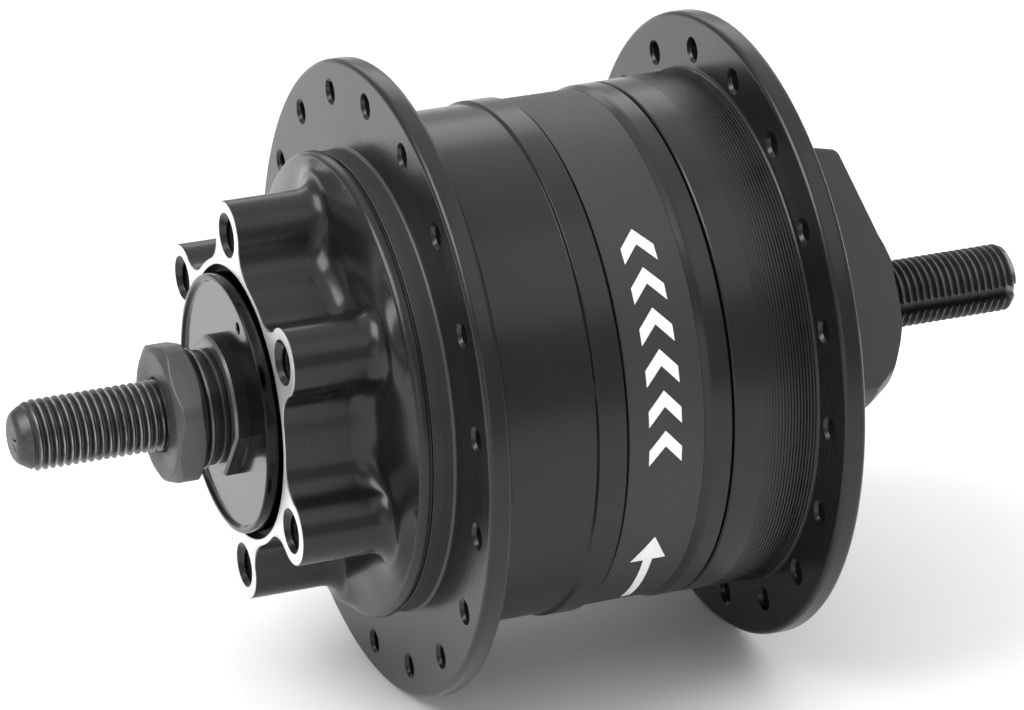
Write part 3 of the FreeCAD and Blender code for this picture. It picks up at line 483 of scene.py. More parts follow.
# The materials that grained makes: the two colours, the grain, the roughness, the relief and the rest.
GRAINED = {
    # the coating where it is thin over coarse turning lines
    "shell_turned_neck": ((grey(0.022, -0.01), grey(0.068, -0.01)), (1.0, 1.0), (0.30, 0.38),
                          (0.00002, 0.6), {"rings": (3300.0, 3300.0), "cloud": 90.0,
                                           "clouded": "roughness", "Metallic": 0.35, "IOR": 1.42}),
    # bare aluminium, with fine rings left by the facing tool
    "machined_aluminium": ((grey(0.66), grey(0.80)), (1.0, 2.0), (0.40, 0.52),
                           (0.00001, 0.5), {"rings": (5200.0, 0.0), "cloud": 160.0,
                                            "clouded": "roughness", "Metallic": 1.0}),
    # matte printed sleeve, dark brown-grey
    "label_sleeve": ((grey(0.020, 0.03), grey(0.026, 0.04)), (2400.0, 2.0), (0.44, 0.56), (0.000008, 0.5),
                     {"cloud": 90.0, "IOR": 1.45}),
    "white_ink": ((grey(0.74), grey(0.88)), (900.0, 3.0), (0.42, 0.55), (0.000006, 0.4), {}),
    # matte grey-black plated steel
    "nut_dark_plating": ((grey(0.066, 0.03), grey(0.096, 0.03)), (1300.0, 4.0, 0.6), (0.42, 0.56),
                         (0.000015, 0.45), {"cloud": 220.0, "Metallic": 0.75}),
    "nut_black_oxide": ((grey(0.022), grey(0.034)), (1.0, 2.0), (0.36, 0.48), (0.00001, 0.4),
                        {"rings": (2400.0, 3200.0), "Metallic": 0.6}),
    "washer_steel": ((grey(0.09, 0.02), grey(0.16, 0.02)), (1.0, 2.0), (0.25, 0.38), (0.00001, 0.5),
                     {"rings": (3000.0, 4200.0), "Metallic": 1.0}),
    "right_cover_steel": ((grey(0.40), grey(0.44)), (1.0, 2.0), (0.37, 0.43), (0.00001, 0.4),
                          {"rings": (3400.0, 0.0), "Metallic": 0.9}),
    # black plastic with a fine satin grain
    "cap_moulding": ((grey(0.034), grey(0.044)), (1500.0, 3.0, 0.6), (0.30, 0.42), (0.000014, 0.4),
                     {"cloud": 110.0, "IOR": 1.5}),
    "seal_rubber_skin": ((grey(0.010), grey(0.022)), (1100.0, 4.0, 0.6), (0.55, 0.75), (0.00003, 0.5), {}),
    "bearing_steel_polish": ((grey(0.50, 0.02), grey(0.62, 0.02)), (500.0, 3.0), (0.12, 0.22),
                             (0.000005, 0.3), {"Metallic": 1.0}),
    "brass_sheet": (((0.55, 0.36, 0.13, 1.0), (0.78, 0.55, 0.24, 1.0)), (700.0, 4.0, 0.6), (0.25, 0.42),
                    (0.00001, 0.4), {"Metallic": 1.0}),
    # punched electrical steel
    "stator_plate": ((grey(0.20), grey(0.34)), (1.0, 2.0), (0.35, 0.5), (0.00002, 0.5),
                     {"rings": (300.0, 2500.0), "Metallic": 0.9}),
    "bobbin_nylon": (((0.62, 0.60, 0.53, 1.0), (0.72, 0.70, 0.63, 1.0)), (900.0, 3.0), (0.40, 0.55),
                     (0.00001, 0.4), {"Subsurface_Weight": 0.1}),
    # layers of enamelled copper wire, wound round the axle
    "copper_winding": (((0.30, 0.09, 0.03, 1.0), (0.72, 0.30, 0.12, 1.0)), (1.0, 1.0), (0.2, 0.35),
                       (0.0001, 0.7), {"rings": (2500.0, 2500.0), "Metallic": 0.9}),
    "ferrite_magnet": ((grey(0.030), grey(0.060)), (1800.0, 4.0, 0.7), (0.6, 0.8), (0.00004, 0.5),
                       {"Metallic": 0.1}),
    "lead_sheath_skin": (((0.28, 0.02, 0.015, 1.0), (0.38, 0.035, 0.025, 1.0)), (1600.0, 3.0), (0.4, 0.55),
                         (0.00001, 0.4), {}),
    "terminal_block_plastic": ((grey(0.045), grey(0.065)), (1300.0, 3.0), (0.45, 0.6), (0.00001, 0.4), {}),
}


@functools.cache
def material(name):
    """The material of a name, made when it is first asked for."""
    if name in PAINTED:
        return PAINTED[name](name)
    *recipe, rest = GRAINED[name]
    return grained(name, *recipe, **rest)


def shell_paint(name):
    """Glossy black coating over turned aluminium: faint turning lines and a soft orange peel."""
    paint = Paint(name, IOR=1.42)
    lines = paint.noise(paint.round_place(3600.0, 3600.0), 1.0, 2.0)
    peel = paint.noise(paint.place, 420.0, 2.0)
    cloud = paint.noise(paint.place, 60.0, 3.0)
    paint.colour(paint.blend(cloud, grey(0.0050, -0.06), grey(0.0080, -0.08)))
    paint.rough(paint.plus(paint.spread(lines, 0.23, 0.27), paint.spread(cloud, -0.02, 0.03)))
    paint.bump(paint.plus(paint.times(lines, 0.6), peel), 0.000006, 0.25)
    return paint.material


def marked_paint(name):
    """The coating over the even turning marks that the tool left at the barrel's end, with painted shade in
    the marks: darker in their grooves, paler on their ridges.
    """
    paint = Paint(name, IOR=1.42)
    marks = paint.maths("SINE", paint.times(paint.along(), 2 * math.pi / (MARK_PITCH * MM)))
    cloud = paint.noise(paint.place, 60.0, 3.0)
    # painted shade: the colour follows the marks, darker in the grooves and paler on the ridges
    paint.colour(paint.blend(paint.range(marks, -1.0, 1.0), grey(0.003, -0.06), grey(0.010, -0.06)))
    paint.rough(paint.spread(cloud, 0.22, 0.28))
    paint.bump(marks, MARK_DEPTH * MM, 1.0)
    return paint.material


def axle_paint(name):
    """Dark phosphated steel, rubbed bright along the thread's crests."""
    paint = Paint(name, Metallic=0.85)
    mottle = paint.noise(paint.place, 1500.0, 4.0, 0.65)
    wear = paint.noise(paint.place, 420.0, 3.0)
    crest = paint.range(paint.reach(), (AXLE_THREAD - 0.16) * MM, (AXLE_THREAD - 0.01) * MM)
    along = paint.along()
    rubbed = paint.times(paint.range(wear, 0.36, 0.58, 0.25, 1.0),
                         paint.range(along, -40 * MM, 40 * MM, 1.0, 0.35))
    end = paint.times(paint.range(along, 67.7 * MM, 68.2 * MM), paint.range(wear, 0.36, 0.58, 0.1, 0.8))
    worn = paint.maths("MAXIMUM", paint.times(crest, rubbed, clamp=True), end)
    dark = paint.blend(mottle, grey(0.026, 0.02), grey(0.085, 0.03))
    paint.colour(paint.blend(worn, dark, grey(0.31, 0.02)))
    paint.rough(paint.spread(mottle, 0.34, 0.5))
    paint.bump(mottle, 0.00002, 0.4)
    return paint.material


def cone_paint(name):
    """Hardened steel blackened by oil, with turning rings, and a painted highlight: paler on the faces
    turned towards the disc side.
    """
    paint = Paint(name, Metallic=0.8)
    rings = paint.noise(paint.round_place(2200.0, 3800.0), 1.0, 3.0)
    stain = paint.noise(paint.place, 330.0, 4.0, 0.6)
    body = paint.blend(stain, grey(0.008, 0.06), grey(0.030, 0.12))
    # painted highlight: faces turned towards the disc side are blended to a paler grey, whatever their wear
    paint.colour(paint.blend(paint.facing_front(0.45, 0.8), body, grey(0.15, 0.03)))
    paint.rough(paint.spread(rings, 0.26, 0.42))
    paint.bump(paint.plus(rings, stain), 0.000015, 0.5)
    return paint.material


def cover_paint(name):
    """Polished pressed steel with faint rings, in which the dark cone is mirrored, and a black lip."""
    paint = Paint(name, Metallic=1.0)
    rings = paint.noise(paint.round_place(3400.0, 0.0), 1.0, 2.0)
    cloud = paint.noise(paint.place, 150.0, 3.0)
    plate = paint.blend(cloud, grey(0.078, 0.01), grey(0.112, 0.01))
    lip = paint.range(paint.reach(), 15.45 * MM, 15.7 * MM)
    paint.colour(paint.blend(lip, plate, grey(0.018)))
    paint.rough(paint.spread(cloud, 0.12, 0.20))
    paint.bump(rings, 0.000006, 0.4)
    return paint.material


def floor_paint(name):
    """Plain pale studio paper."""
    paint = Paint(name)
    fibre = paint.noise(paint.place, 90.0, 3.0)
    paint.colour(paint.blend(fibre, grey(0.93), grey(0.95)))
    paint.rough(paint.spread(fibre, 0.85, 0.95))
    return paint.material


PAINTED = {
    "shell_black_coat": shell_paint,
    "shell_turning_marks": marked_paint,
    "axle_phosphate": axle_paint,
    "cone_oiled_steel": cone_paint,
    "cover_steel": cover_paint,
    "studio_paper": floor_paint,
}


# ---------------- sizes of the pieces

AXLE_THREAD = 4.5
THREAD_PITCH = 1.0
THREAD_DEPTH = 0.56
AXLE_TIP = 3.0
AXLE_DOME = 1.5
AXLE_END_CHAMFER = 0.95
KEYWAY_MIDDLE = -7.0
KEYWAY_HALF_WIDTH = 0.9
KEYWAY_FLOOR = 3.0
KEYWAY_START = 20.5
KEYWAY_CLEAR = 15.0
CORE_FRONT = -30.7
CORE_BACK = 27.5
FIT = 0.02
BORE = AXLE_THREAD + FIT

LOCKNUT_FLAT = 8.6
LOCKNUT_CORNER_ROUND = 3.6
LOCKNUT_FACE = 8.05
LOCKNUT_BACK = 8.1
LOCKNUT_TURN = 19.0
LOCKNUT_BOSS = 6.7
LOCKNUT_DEPTH = 4.0

COLLAR_FLAT = 7.8
COLLAR_FLAT_ANGLE = -35.0
COLLAR_BACK = -40.7
CONE_NECK = 8.4
CONE_NECK_BACK = -33.4
CONE_TIP = 6.0
LEFT_TRACK = -32.3
LEFT_PITCH = 8.2
LEFT_BALL = 2.411

COVER_FACE = -40.7
COVER_SHEET = 0.5
COVER_LIP = 1.1
COVER_VENT = 0.7
COVER_VENT_PLACE = 13.2
COVER_VENT_ANGLE = 68.0

SPOKE_COUNT = 18
SPOKE_HOLE = 1.3
SPOKE_MOUTH = 0.42
LEFT_SPOKE_CIRCLE = 37.0
LEFT_SPOKE_ANGLE = 10.8
RIGHT_SPOKE_CIRCLE = 36.45
RIGHT_SPOKE_ANGLE = 0.4
FLANGE_THICKNESS = 3.0
FLANGE_ROUND = 0.75
FLANGE_FILLET = 1.6

DISC_BOLT_COUNT = 6
DISC_BOLT_CIRCLE = 22.0
DISC_BOLT_ANGLE = 35.24
DISC_BOLT_THREAD = 2.5
DISC_BOLT_DEPTH = 12.0
DISC_BOLT_PITCH = 0.8
DISC_BOLT_THREAD_DEPTH = 0.43
DISC_BOLT_MOUTH = 0.4
DISC_BORE = 17.5
DISC_BORE_BACK = -36.4
LOBE_RADIUS = 4.4
LOBE_FILLET = 4.5
WEB_RADIUS = 18.5
FACE_ROUND = 0.2

BASE_RADIUS = 30.0
BASE_RIM = 0.7
BASE_DOME = 1.5
BASE_FRONT = -27.7
BASE_BACK = -25.0
GROOVE_FRONT = -24.9
GROOVE_BACK = -24.3
GROOVE_RADIUS = 29.3
BAND_RADIUS = 29.7
LEFT_FLANGE_FACE = -21.4
NECK_END = 31.0
BARREL_RADIUS = 33.05
RING_RADIUS = 33.45
RING_STEP_FRONT = -4.1
RING_STEP_BACK = -3.8
RING_BACK = -0.1
SLEEVE_FLOOR = 32.5
RAMP_BACK = 11.5
SEAM_GAP = 0.25
SEAM_BEVEL = 0.2
SPIGOT_RADIUS = 31.88
SHELL_BORE = 30.7
WALL_KNEE_RADIUS = 27.0
WALL_KNEE = -19.6
END_WALL = -22.6
STOP_RADIUS = 10.6
LEFT_CUP_BACK = -28.6
LEFT_CUP_RADIUS = 14.0

RIGHT_FLANGE_FACE = 25.9
RIGHT_BARREL_RADIUS = 33.6
RIGHT_NECK = 24.4
RIGHT_NECK_RADIUS = 33.75
MARKS_FRONT = 18.6
MARKS_RISE = 0.07
MARK_PITCH = 0.42
MARK_DEPTH = 0.012
DISH_RADIUS = 33.5
SLOPE_RADIUS = 24.0
SLOPE_STATION = 31.6
BOSS_RADIUS = 20.3
BOSS_FRONT = 33.8
RIGHT_SEAL_RADIUS = 17.0
RIGHT_SEAL_SEAT = 33.8
RIGHT_CUP_RADIUS = 15.5
RIGHT_CUP_FRONT = 28.4
RIGHT_STOP_RADIUS = 12.2
RIGHT_WALL = 25.4
RIGHT_KNEE_RADIUS = 28.5
RIGHT_KNEE = 23.4


# ---------------- the axle and what is on its disc side

def make_axle():
    """The axle: a domed end, rolled threads, a plain middle and the wire's keyway."""
    low, high, core = span("axle")
    left_face = front("left_locknut")
    right_face = back("right_locknut")
    root = AXLE_THREAD - THREAD_DEPTH - FIT
    inside = AXLE_THREAD - FIT
    dome_end = low + AXLE_DOME
    columns = keyed_columns(112, KEYWAY_MIDDLE, KEYWAY_HALF_WIDTH, AXLE_THREAD, KEYWAY_CLEAR)

    def left_limit(station, reach):
        dome = root + (station - dome_end) * 0.5
        runout = root + (left_face - station) * 2.0
        return min(reach, dome, runout)

    def right_limit(station, reach):
        left = max(0.0, 1 - (high - station) / AXLE_END_CHAMFER)
        chamfer = AXLE_THREAD - AXLE_END_CHAMFER * left ** 1.7
        runout = root + (station - right_face) * 2.0
        return min(reach, chamfer, runout)

    def rolled(start, end, limit, floor=None):
        return thread(columns, start, end, THREAD_PITCH, THREAD_DEPTH, AXLE_THREAD, limit, floor)

    tip = rounded([(low, 0), (low, AXLE_TIP, 1.9), (dome_end, root)], 8, closed=False)
    plain = [(left_face, root), (left_face, inside), (CORE_FRONT, inside), (CORE_FRONT, core),
             (KEYWAY_START, core)]
    keyed = [(KEYWAY_START, core), (CORE_BACK, core), (CORE_BACK, inside), (right_face, inside),
             (right_face, root)]
    end = [column.place(AXLE_THREAD - AXLE_END_CHAMFER, KEYWAY_FLOOR) for column in columns]
    start_wall = [column.place(core) for column in columns if column.middle is not None]
    floor_wall = [column.place(core, KEYWAY_FLOOR) for column in columns if column.on_floor]
    wall = start_wall[1:4] + floor_wall[::-1]
    return new_piece("axle_body", [
        bar(columns, tip),
        rolled(dome_end, left_face, left_limit),
        bar(columns, plain),
        Shape().add_face([(across, KEYWAY_START, up) for across, up in wall]),
        bar(columns, keyed, KEYWAY_FLOOR),
        rolled(right_face, high, right_limit, KEYWAY_FLOOR),
        Shape().add_face([(across, high, up) for across, up in end]),
    ], ["axle_phosphate"], "axle_assembly", ["axle"], sharp=40.0)


HALF_CORNER = math.radians(30.0)


def nut_reach(angle):
    """The hexagon's radius at an angle, its corners rounded."""
    off_flat = math.radians(abs((angle - LOCKNUT_TURN) % 60.0 - 30.0))
    flat = LOCKNUT_FLAT - LOCKNUT_CORNER_ROUND
    if LOCKNUT_FLAT * math.tan(off_flat) <= flat * math.tan(HALF_CORNER):
        return LOCKNUT_FLAT / math.cos(off_flat)
    centre = flat / math.cos(HALF_CORNER)
    to_corner = HALF_CORNER - off_flat
    inside = centre * math.sin(to_corner)
    return centre * math.cos(to_corner) + math.sqrt(LOCKNUT_CORNER_ROUND ** 2 - inside ** 2)


def make_locknut():
    """The hexagonal locknut, with turned-off corners, a thread chamfer and a round boss behind."""
    face, end = front("left_locknut"), back("left_locknut")
    shoulder = face + LOCKNUT_DEPTH
    slope = math.tan(HALF_CORNER)

    def outline(angle):
        reach = nut_reach(angle)
        return rounded([
            (face + 0.5, BORE), (face, BORE + 0.5), (face, LOCKNUT_FACE, 0.25),
            (face + (reach - LOCKNUT_FACE) * slope, reach, 0.3),
            (shoulder - (reach - LOCKNUT_BACK) * slope, reach, 0.3),
            (shoulder, LOCKNUT_BACK, 0.2), (shoulder, LOCKNUT_BOSS, 0.1),
            (end, LOCKNUT_BOSS, 0.12), (end, BORE),
        ])

    return new_piece("locknut_left", [Shape().add_grid(turned_grid(even_angles(360), outline))],
                     ["nut_dark_plating"], "axle_assembly", ["left_locknut"],
                     sharp=50.0)


def make_spacer():
    """The spacer sleeve, with one fine groove round it and broken edges."""
    start, end, reach = span("left_spacer")
    groove = (start + end) / 2 + 0.2
    return new_piece("spacer_left", [lathe([
        (start, BORE), (start, reach - 0.15, 0.1), (start + 0.2, reach, 0.1),
        (groove - 0.18, reach, 0.06), (groove, reach - 0.35, 0.06), (groove + 0.18, reach, 0.06),
        (end - 0.2, reach, 0.1), (end, reach - 0.15, 0.1), (end, BORE),
    ], 160)], ["cone_oiled_steel"], "axle_assembly", ["left_spacer"])


def make_cone():
    """The disc-side cone: chamfered collar with a spanner flat, neck and ball track."""
    start, end, reach = span("left_cone")
    half = math.degrees(math.acos(COLLAR_FLAT / reach))
    angles = sorted(set(np.round(even_angles(240), 4)) | {
        (COLLAR_FLAT_ANGLE - half) % FULL_TURN, (COLLAR_FLAT_ANGLE + half) % FULL_TURN})
    track_angles = np.linspace(-70.0, 40.0, 9)
    track = [(LEFT_TRACK + LEFT_BALL * math.sin(math.radians(angle)),
              LEFT_PITCH - LEFT_BALL * math.cos(math.radians(angle))) for angle in track_angles]
    track = [point for point in track if CONE_NECK_BACK < point[0] < end - 0.1]

    def outline(angle):
        off_flat = (angle - COLLAR_FLAT_ANGLE + 180.0) % FULL_TURN - 180.0
        collar = reach
        if abs(off_flat) < half:
            collar = COLLAR_FLAT / math.cos(math.radians(off_flat))
        return rounded([
            (start, BORE), (start, collar - 0.35, 0.08), (start + 0.35, collar, 0.12),
            (COLLAR_BACK, collar), (COLLAR_BACK, CONE_NECK), (CONE_NECK_BACK, CONE_NECK, 0.2),
            *track, (end, CONE_TIP, 0.1), (end, BORE),
        ])

    return new_piece("cone_left", [Shape().add_grid(turned_grid(angles, outline))],
                     ["cone_oiled_steel"], "axle_assembly", ["left_cone"])


def make_dust_cover():
    """The pressed dust cover: flat face, raised lip, skirt and one vent hole."""
    lip, skirt, reach = span("left_dust_cover")
    bore = CONE_NECK + FIT
    inner = reach - COVER_SHEET
    inside = COVER_FACE + COVER_SHEET
    cover = lathe([
        (COVER_FACE, bore, 0.1), (COVER_FACE, reach - COVER_LIP, 0.25),
        (lip, reach - COVER_LIP * 0.6, 0.25), (lip, reach, 0.28),
        (skirt, reach, 0.1), (skirt, inner, 0.1), (inside, inner, 0.2), (inside, bore, 0.1),
    ], 256)
    vent = hole_cutter(COVER_FACE, inside, COVER_VENT, 0.12, on_circle(COVER_VENT_PLACE, COVER_VENT_ANGLE))
    return new_piece("dust_cover_left", [cover], ["cover_steel"], "axle_assembly",
                     ["left_dust_cover"], cuts=[[vent]])


# ---------------- the hub shell

LOBE_STEPS = 32


def lobe_outline():
    """Half of one lobe of the disc face, from its outer end to the middle of the web, at even steps.
    Gives the points across the axle, with the lobe on the first axis, and their outward directions."""
    centre = DISC_BOLT_CIRCLE
    valley = WEB_RADIUS + LOBE_FILLET
    gap = LOBE_RADIUS + LOBE_FILLET
    web_turn = math.acos((centre ** 2 + valley ** 2 - gap ** 2) / (2 * centre * valley))
    fillet_centre = np.array((valley * math.cos(web_turn), valley * math.sin(web_turn)))
    lobe_turn = math.atan2(fillet_centre[1], fillet_centre[0] - centre)
    half_sector = math.pi / DISC_BOLT_COUNT
    lobe = LOBE_RADIUS * lobe_turn
    fillet = LOBE_FILLET * (lobe_turn - web_turn)
    web = WEB_RADIUS * (half_sector - web_turn)
    points, outward = [], []
    for step in range(LOBE_STEPS + 1):
        run = (lobe + fillet + web) * step / LOBE_STEPS
        if run <= lobe:
            turn, middle, reach = run / LOBE_RADIUS, np.array((centre, 0)), LOBE_RADIUS
        elif run <= lobe + fillet:
            turn, middle, reach = lobe_turn - (run - lobe) / LOBE_FILLET, fillet_centre, -LOBE_FILLET
        else:
            turn, middle, reach = web_turn + (run - lobe - fillet) / WEB_RADIUS, np.zeros(2), WEB_RADIUS
        direction = np.array((math.cos(turn), math.sin(turn)))
        points.append(middle + reach * direction)
        outward.append(direction)
    return points, outward


def star_columns():
    """All columns of the disc mount: angle at the round base, point and outward direction of the star."""
    points, outward = lobe_outline()
    flip = np.array((1, -1))
    half = FULL_TURN / DISC_BOLT_COUNT / 2
    sector = [(-half * step / LOBE_STEPS, points[step] * flip, outward[step] * flip)
              for step in range(LOBE_STEPS, 0, -1)]
    sector += [(half * step / LOBE_STEPS, points[step], outward[step]) for step in range(LOBE_STEPS)]
    columns = []
    for lobe in range(DISC_BOLT_COUNT):
        start = DISC_BOLT_ANGLE + lobe * FULL_TURN / DISC_BOLT_COUNT
        along, aside = on_circle(1.0, start)
        turn = np.array(((along, -aside), (aside, along)))
        columns += [(start + angle, turn @ point, turn @ direction) for angle, point, direction in sector]
    return columns


def root_curve(run):
    """The sweep from the star's wall out to the round base: (distance outwards, station) points.
    A hollow quarter, a domed shoulder and a round rim; run is the whole distance outwards."""
    hollow = 1.9 + 0.17 * (run - 3.6)
    fall = 2.3 + 0.13 * (run - 3.6)
    rim = min(BASE_RIM, run - hollow)
    drop = BASE_BACK - BASE_FRONT - BASE_DOME
    quarter = np.linspace(0, math.pi / 2, 11)
    curve = [(hollow * (1 - math.cos(turn)), BASE_FRONT - fall * (1 - math.sin(turn))) for turn in quarter]
    middle = run - rim
    curve += [(hollow + (middle - hollow) * share, BASE_FRONT + BASE_DOME * share ** 1.8)
              for share in np.linspace(0, 1, 7)[1:-1]]
    curve += [(middle + rim * math.sin(turn), BASE_BACK - drop * math.cos(turn)) for turn in quarter]
    return curve


def mount_column(angle, point, direction):
    """The disc mount's surface in one column, from the face's edge to the round base."""
    face = front("hub_shell")
    line = []
    for turn in np.linspace(0, math.pi / 2, 4):
        inset = point - direction * FACE_ROUND * (1 - math.sin(turn))
        line.append((inset[0], face + FACE_ROUND * (1 - math.cos(turn)), inset[1]))
    rim = np.array(on_circle(BASE_RADIUS, angle))
    run = float(np.linalg.norm(rim - point))
    outwards = (rim - point) / run
    for away, station in root_curve(run):
        place = point + outwards * away
        line.append((place[0], station, place[1]))
    return line


def hub_shell_outline():
    """The round part of the shell's outline, from behind the disc mount to the bore's mouth."""
    face, seam, flange = span("hub_shell")
    spigot = front("right_shell")
    sleeve_back = back("label_band")
    flange_back = LEFT_FLANGE_FACE + FLANGE_THICKNESS
    return rounded([
        (BASE_BACK, BASE_RADIUS), (GROOVE_FRONT, BASE_RADIUS, 0.04),
        (GROOVE_FRONT, GROOVE_RADIUS, 0.08), (GROOVE_BACK, GROOVE_RADIUS, 0.08),
        (GROOVE_BACK, BAND_RADIUS, 0.12), (LEFT_FLANGE_FACE, BAND_RADIUS, 0.4),
        (LEFT_FLANGE_FACE, flange, FLANGE_ROUND), (flange_back, flange, FLANGE_ROUND),
        (flange_back, BARREL_RADIUS, FLANGE_FILLET), (RING_STEP_FRONT, BARREL_RADIUS, 0.15),
        (RING_STEP_BACK, RING_RADIUS, 0.15), (RING_BACK, RING_RADIUS, 0.2), (RING_BACK, SLEEVE_FLOOR, 0.05),
        (sleeve_back, SLEEVE_FLOOR), (sleeve_back, radius("label_band")), (RAMP_BACK, RING_RADIUS, 1.6),
        (seam - SEAM_BEVEL, RING_RADIUS, 0.08), (seam, RING_RADIUS - SEAM_BEVEL, 0.08),
        (seam, SPIGOT_RADIUS), (spigot, SPIGOT_RADIUS), (spigot, SHELL_BORE), (WALL_KNEE, SHELL_BORE, 1.0),
        (END_WALL, WALL_KNEE_RADIUS, 1.0), (END_WALL, STOP_RADIUS, 0.3), (LEFT_CUP_BACK, STOP_RADIUS, 0.1),
        (LEFT_CUP_BACK, LEFT_CUP_RADIUS), (DISC_BORE_BACK, LEFT_CUP_RADIUS, 0.1),
        (DISC_BORE_BACK, DISC_BORE), (face, DISC_BORE, 0.25), (face, WEB_RADIUS - 2 * FACE_ROUND),
    ], closed=False)


def disc_bolt_cutter(place):
    """The three parts of a threaded, countersunk cutter for one disc bolt hole."""
    face = front("hub_shell")
    start = face - OVERRUN
    end = face + DISC_BOLT_DEPTH
    root = DISC_BOLT_THREAD - DISC_BOLT_THREAD_DEPTH
    columns = plain_columns(HOLE_COUNT)

    def limit(station, reach):
        mouth = DISC_BOLT_THREAD + DISC_BOLT_MOUTH + face - station
        runout = root + max(0.0, end - 0.6 - station) * 2.0
        return max(mouth, min(reach, runout))

    return [moved(part, *place) for part in (
        thread(columns, start, end, DISC_BOLT_PITCH, DISC_BOLT_THREAD_DEPTH, DISC_BOLT_THREAD, limit),
        bar(columns, [(start, 0), (start, limit(start, 0))]),
        bar(columns, [(end, root), (end + 1.0, 0)]),
    )]


def circle_places(count, reach, first_angle):
    """The places of evenly spaced holes on a circle round the axle."""
    return [on_circle(reach, first_angle + number * FULL_TURN / count) for number in range(count)]


def spoke_cutters(face, reach, first_angle):
    return [hole_cutter(face, face + FLANGE_THICKNESS, SPOKE_HOLE, SPOKE_MOUTH, place)
            for place in circle_places(SPOKE_COUNT, reach, first_angle)]


def make_hub_shell():
    """The black hub shell: lobed disc mount with a bare machined face, flange and barrel."""
    face = front("hub_shell")
    outline = hub_shell_outline()
    grid = []
    for angle, point, direction in star_columns():
        across, up = on_circle(1.0, angle)
        rest = [(reach * across, station, reach * up) for station, reach in outline]
        grid.append(mount_column(angle, point, direction) + rest)
    bolts = circle_places(DISC_BOLT_COUNT, DISC_BOLT_CIRCLE, DISC_BOLT_ANGLE)
    cuts = [part for place in bolts for part in disc_bolt_cutter(place)]
    cuts += spoke_cutters(LEFT_FLANGE_FACE, LEFT_SPOKE_CIRCLE, LEFT_SPOKE_ANGLE)

    def paint(surface):
        """Bare metal on the disc face, turning lines on the neck before the flange, black elsewhere."""
        centre = surface.center / MM
        reach = math.hypot(centre.x, centre.z)
        if centre.y < face + 0.12 and surface.normal.y < -0.8 and reach > DISC_BORE:
            return 1
        on_neck = GROOVE_BACK < centre.y < LEFT_FLANGE_FACE + 0.01 and BAND_RADIUS - 0.2 < reach < NECK_END
        return 2 if on_neck else 0

    finishes = ["shell_black_coat", "machined_aluminium", "shell_turned_neck"]
    return new_piece("shell_left", [Shape().add_grid(grid)], finishes,
                     "hub_body", ["hub_shell"], cuts=[cuts], paint=paint)


def make_right_shell():
    """The connector-side shell: end of the barrel, flange and dished end wall."""
    start, face, flange = span("right_shell")
    seam = back("hub_shell") + SEAM_GAP
    flange_back = RIGHT_FLANGE_FACE + FLANGE_THICKNESS
    spigot = SPIGOT_RADIUS - FIT
    shell = lathe([
        (start, SHELL_BORE), (start, spigot), (seam, spigot), (seam, RING_RADIUS - SEAM_BEVEL, 0.08),
        (seam + SEAM_BEVEL, RING_RADIUS, 0.08), (MARKS_FRONT, RING_RADIUS + MARKS_RISE),
        (RIGHT_NECK, RIGHT_BARREL_RADIUS, 0.1), (RIGHT_FLANGE_FACE, RIGHT_NECK_RADIUS, 0.5),
        (RIGHT_FLANGE_FACE, flange, FLANGE_ROUND), (flange_back, flange, FLANGE_ROUND),
        (flange_back, DISH_RADIUS, 1.2), (SLOPE_STATION, SLOPE_RADIUS, 2.0),
        (BOSS_FRONT, BOSS_RADIUS, 0.8), (face, BOSS_RADIUS, 0.5), (face, RIGHT_SEAL_RADIUS, 0.2),
        (RIGHT_SEAL_SEAT, RIGHT_SEAL_RADIUS), (RIGHT_SEAL_SEAT, RIGHT_CUP_RADIUS, 0.1),
        (RIGHT_CUP_FRONT, RIGHT_CUP_RADIUS), (RIGHT_CUP_FRONT, RIGHT_STOP_RADIUS, 0.1),
        (RIGHT_WALL, RIGHT_STOP_RADIUS, 0.3), (RIGHT_WALL, RIGHT_KNEE_RADIUS, 1.0),
        (RIGHT_KNEE, SHELL_BORE, 1.0),
    ], FINE_COUNT)
    cuts = spoke_cutters(RIGHT_FLANGE_FACE, RIGHT_SPOKE_CIRCLE, RIGHT_SPOKE_ANGLE)

    def paint(surface):
        """Turning marks on the barrel's end, and the plain coating everywhere else."""
        centre = surface.center / MM
        on_end = MARKS_FRONT < centre.y < RIGHT_FLANGE_FACE - 0.5
        return 1 if on_end and math.hypot(centre.x, centre.z) > RING_RADIUS else 0

    finishes = ["shell_black_coat", "shell_turning_marks"]
    return new_piece("shell_right", [shell], finishes, "hub_body", ["right_shell"],
                     cuts=[cuts], paint=paint)


# ---------------- the printed sleeve

SLEEVE_MARK_MIDDLE = 5.2
INK_HEIGHT = 0.03
ARROW_TIP = -24.5
ARROW_SHOULDER = -32.5
ARROW_TAIL = -55.0
ARROW_HALF_HEAD = 2.4
ARROW_HALF_SHAFT = 0.6
ARROW_LEAN = 0.8
CHEVRON_FIRST = -4.0
CHEVRON_STEP = 9.0
CHEVRON_COUNT = 6
CHEVRON_HALF_HEIGHT = 2.2
CHEVRON_POINT = 4.2
CHEVRON_WIDTH = 3.6


def ink_shape(left, right, reach):
    """A closed film of ink on the sleeve between two lines of (angle, station) points."""
    grid = []
    for near, far in zip(left, right):
        row = [np.array(near) + (np.array(far) - np.array(near)) * share for share in np.linspace(0, 1, 5)]
        film = [(angle, station, INK_HEIGHT) for angle, station in row]
        film += [(angle, station, -INK_HEIGHT) for angle, station in row[::-1]]
        places = [(on_circle(reach + height, angle), station) for angle, station, height in film]
        grid.append([(across, station, up) for (across, up), station in places])
    shape = Shape().add_grid(grid, around=False)
    return shape.add_face(grid[0]).add_face(grid[-1][::-1])


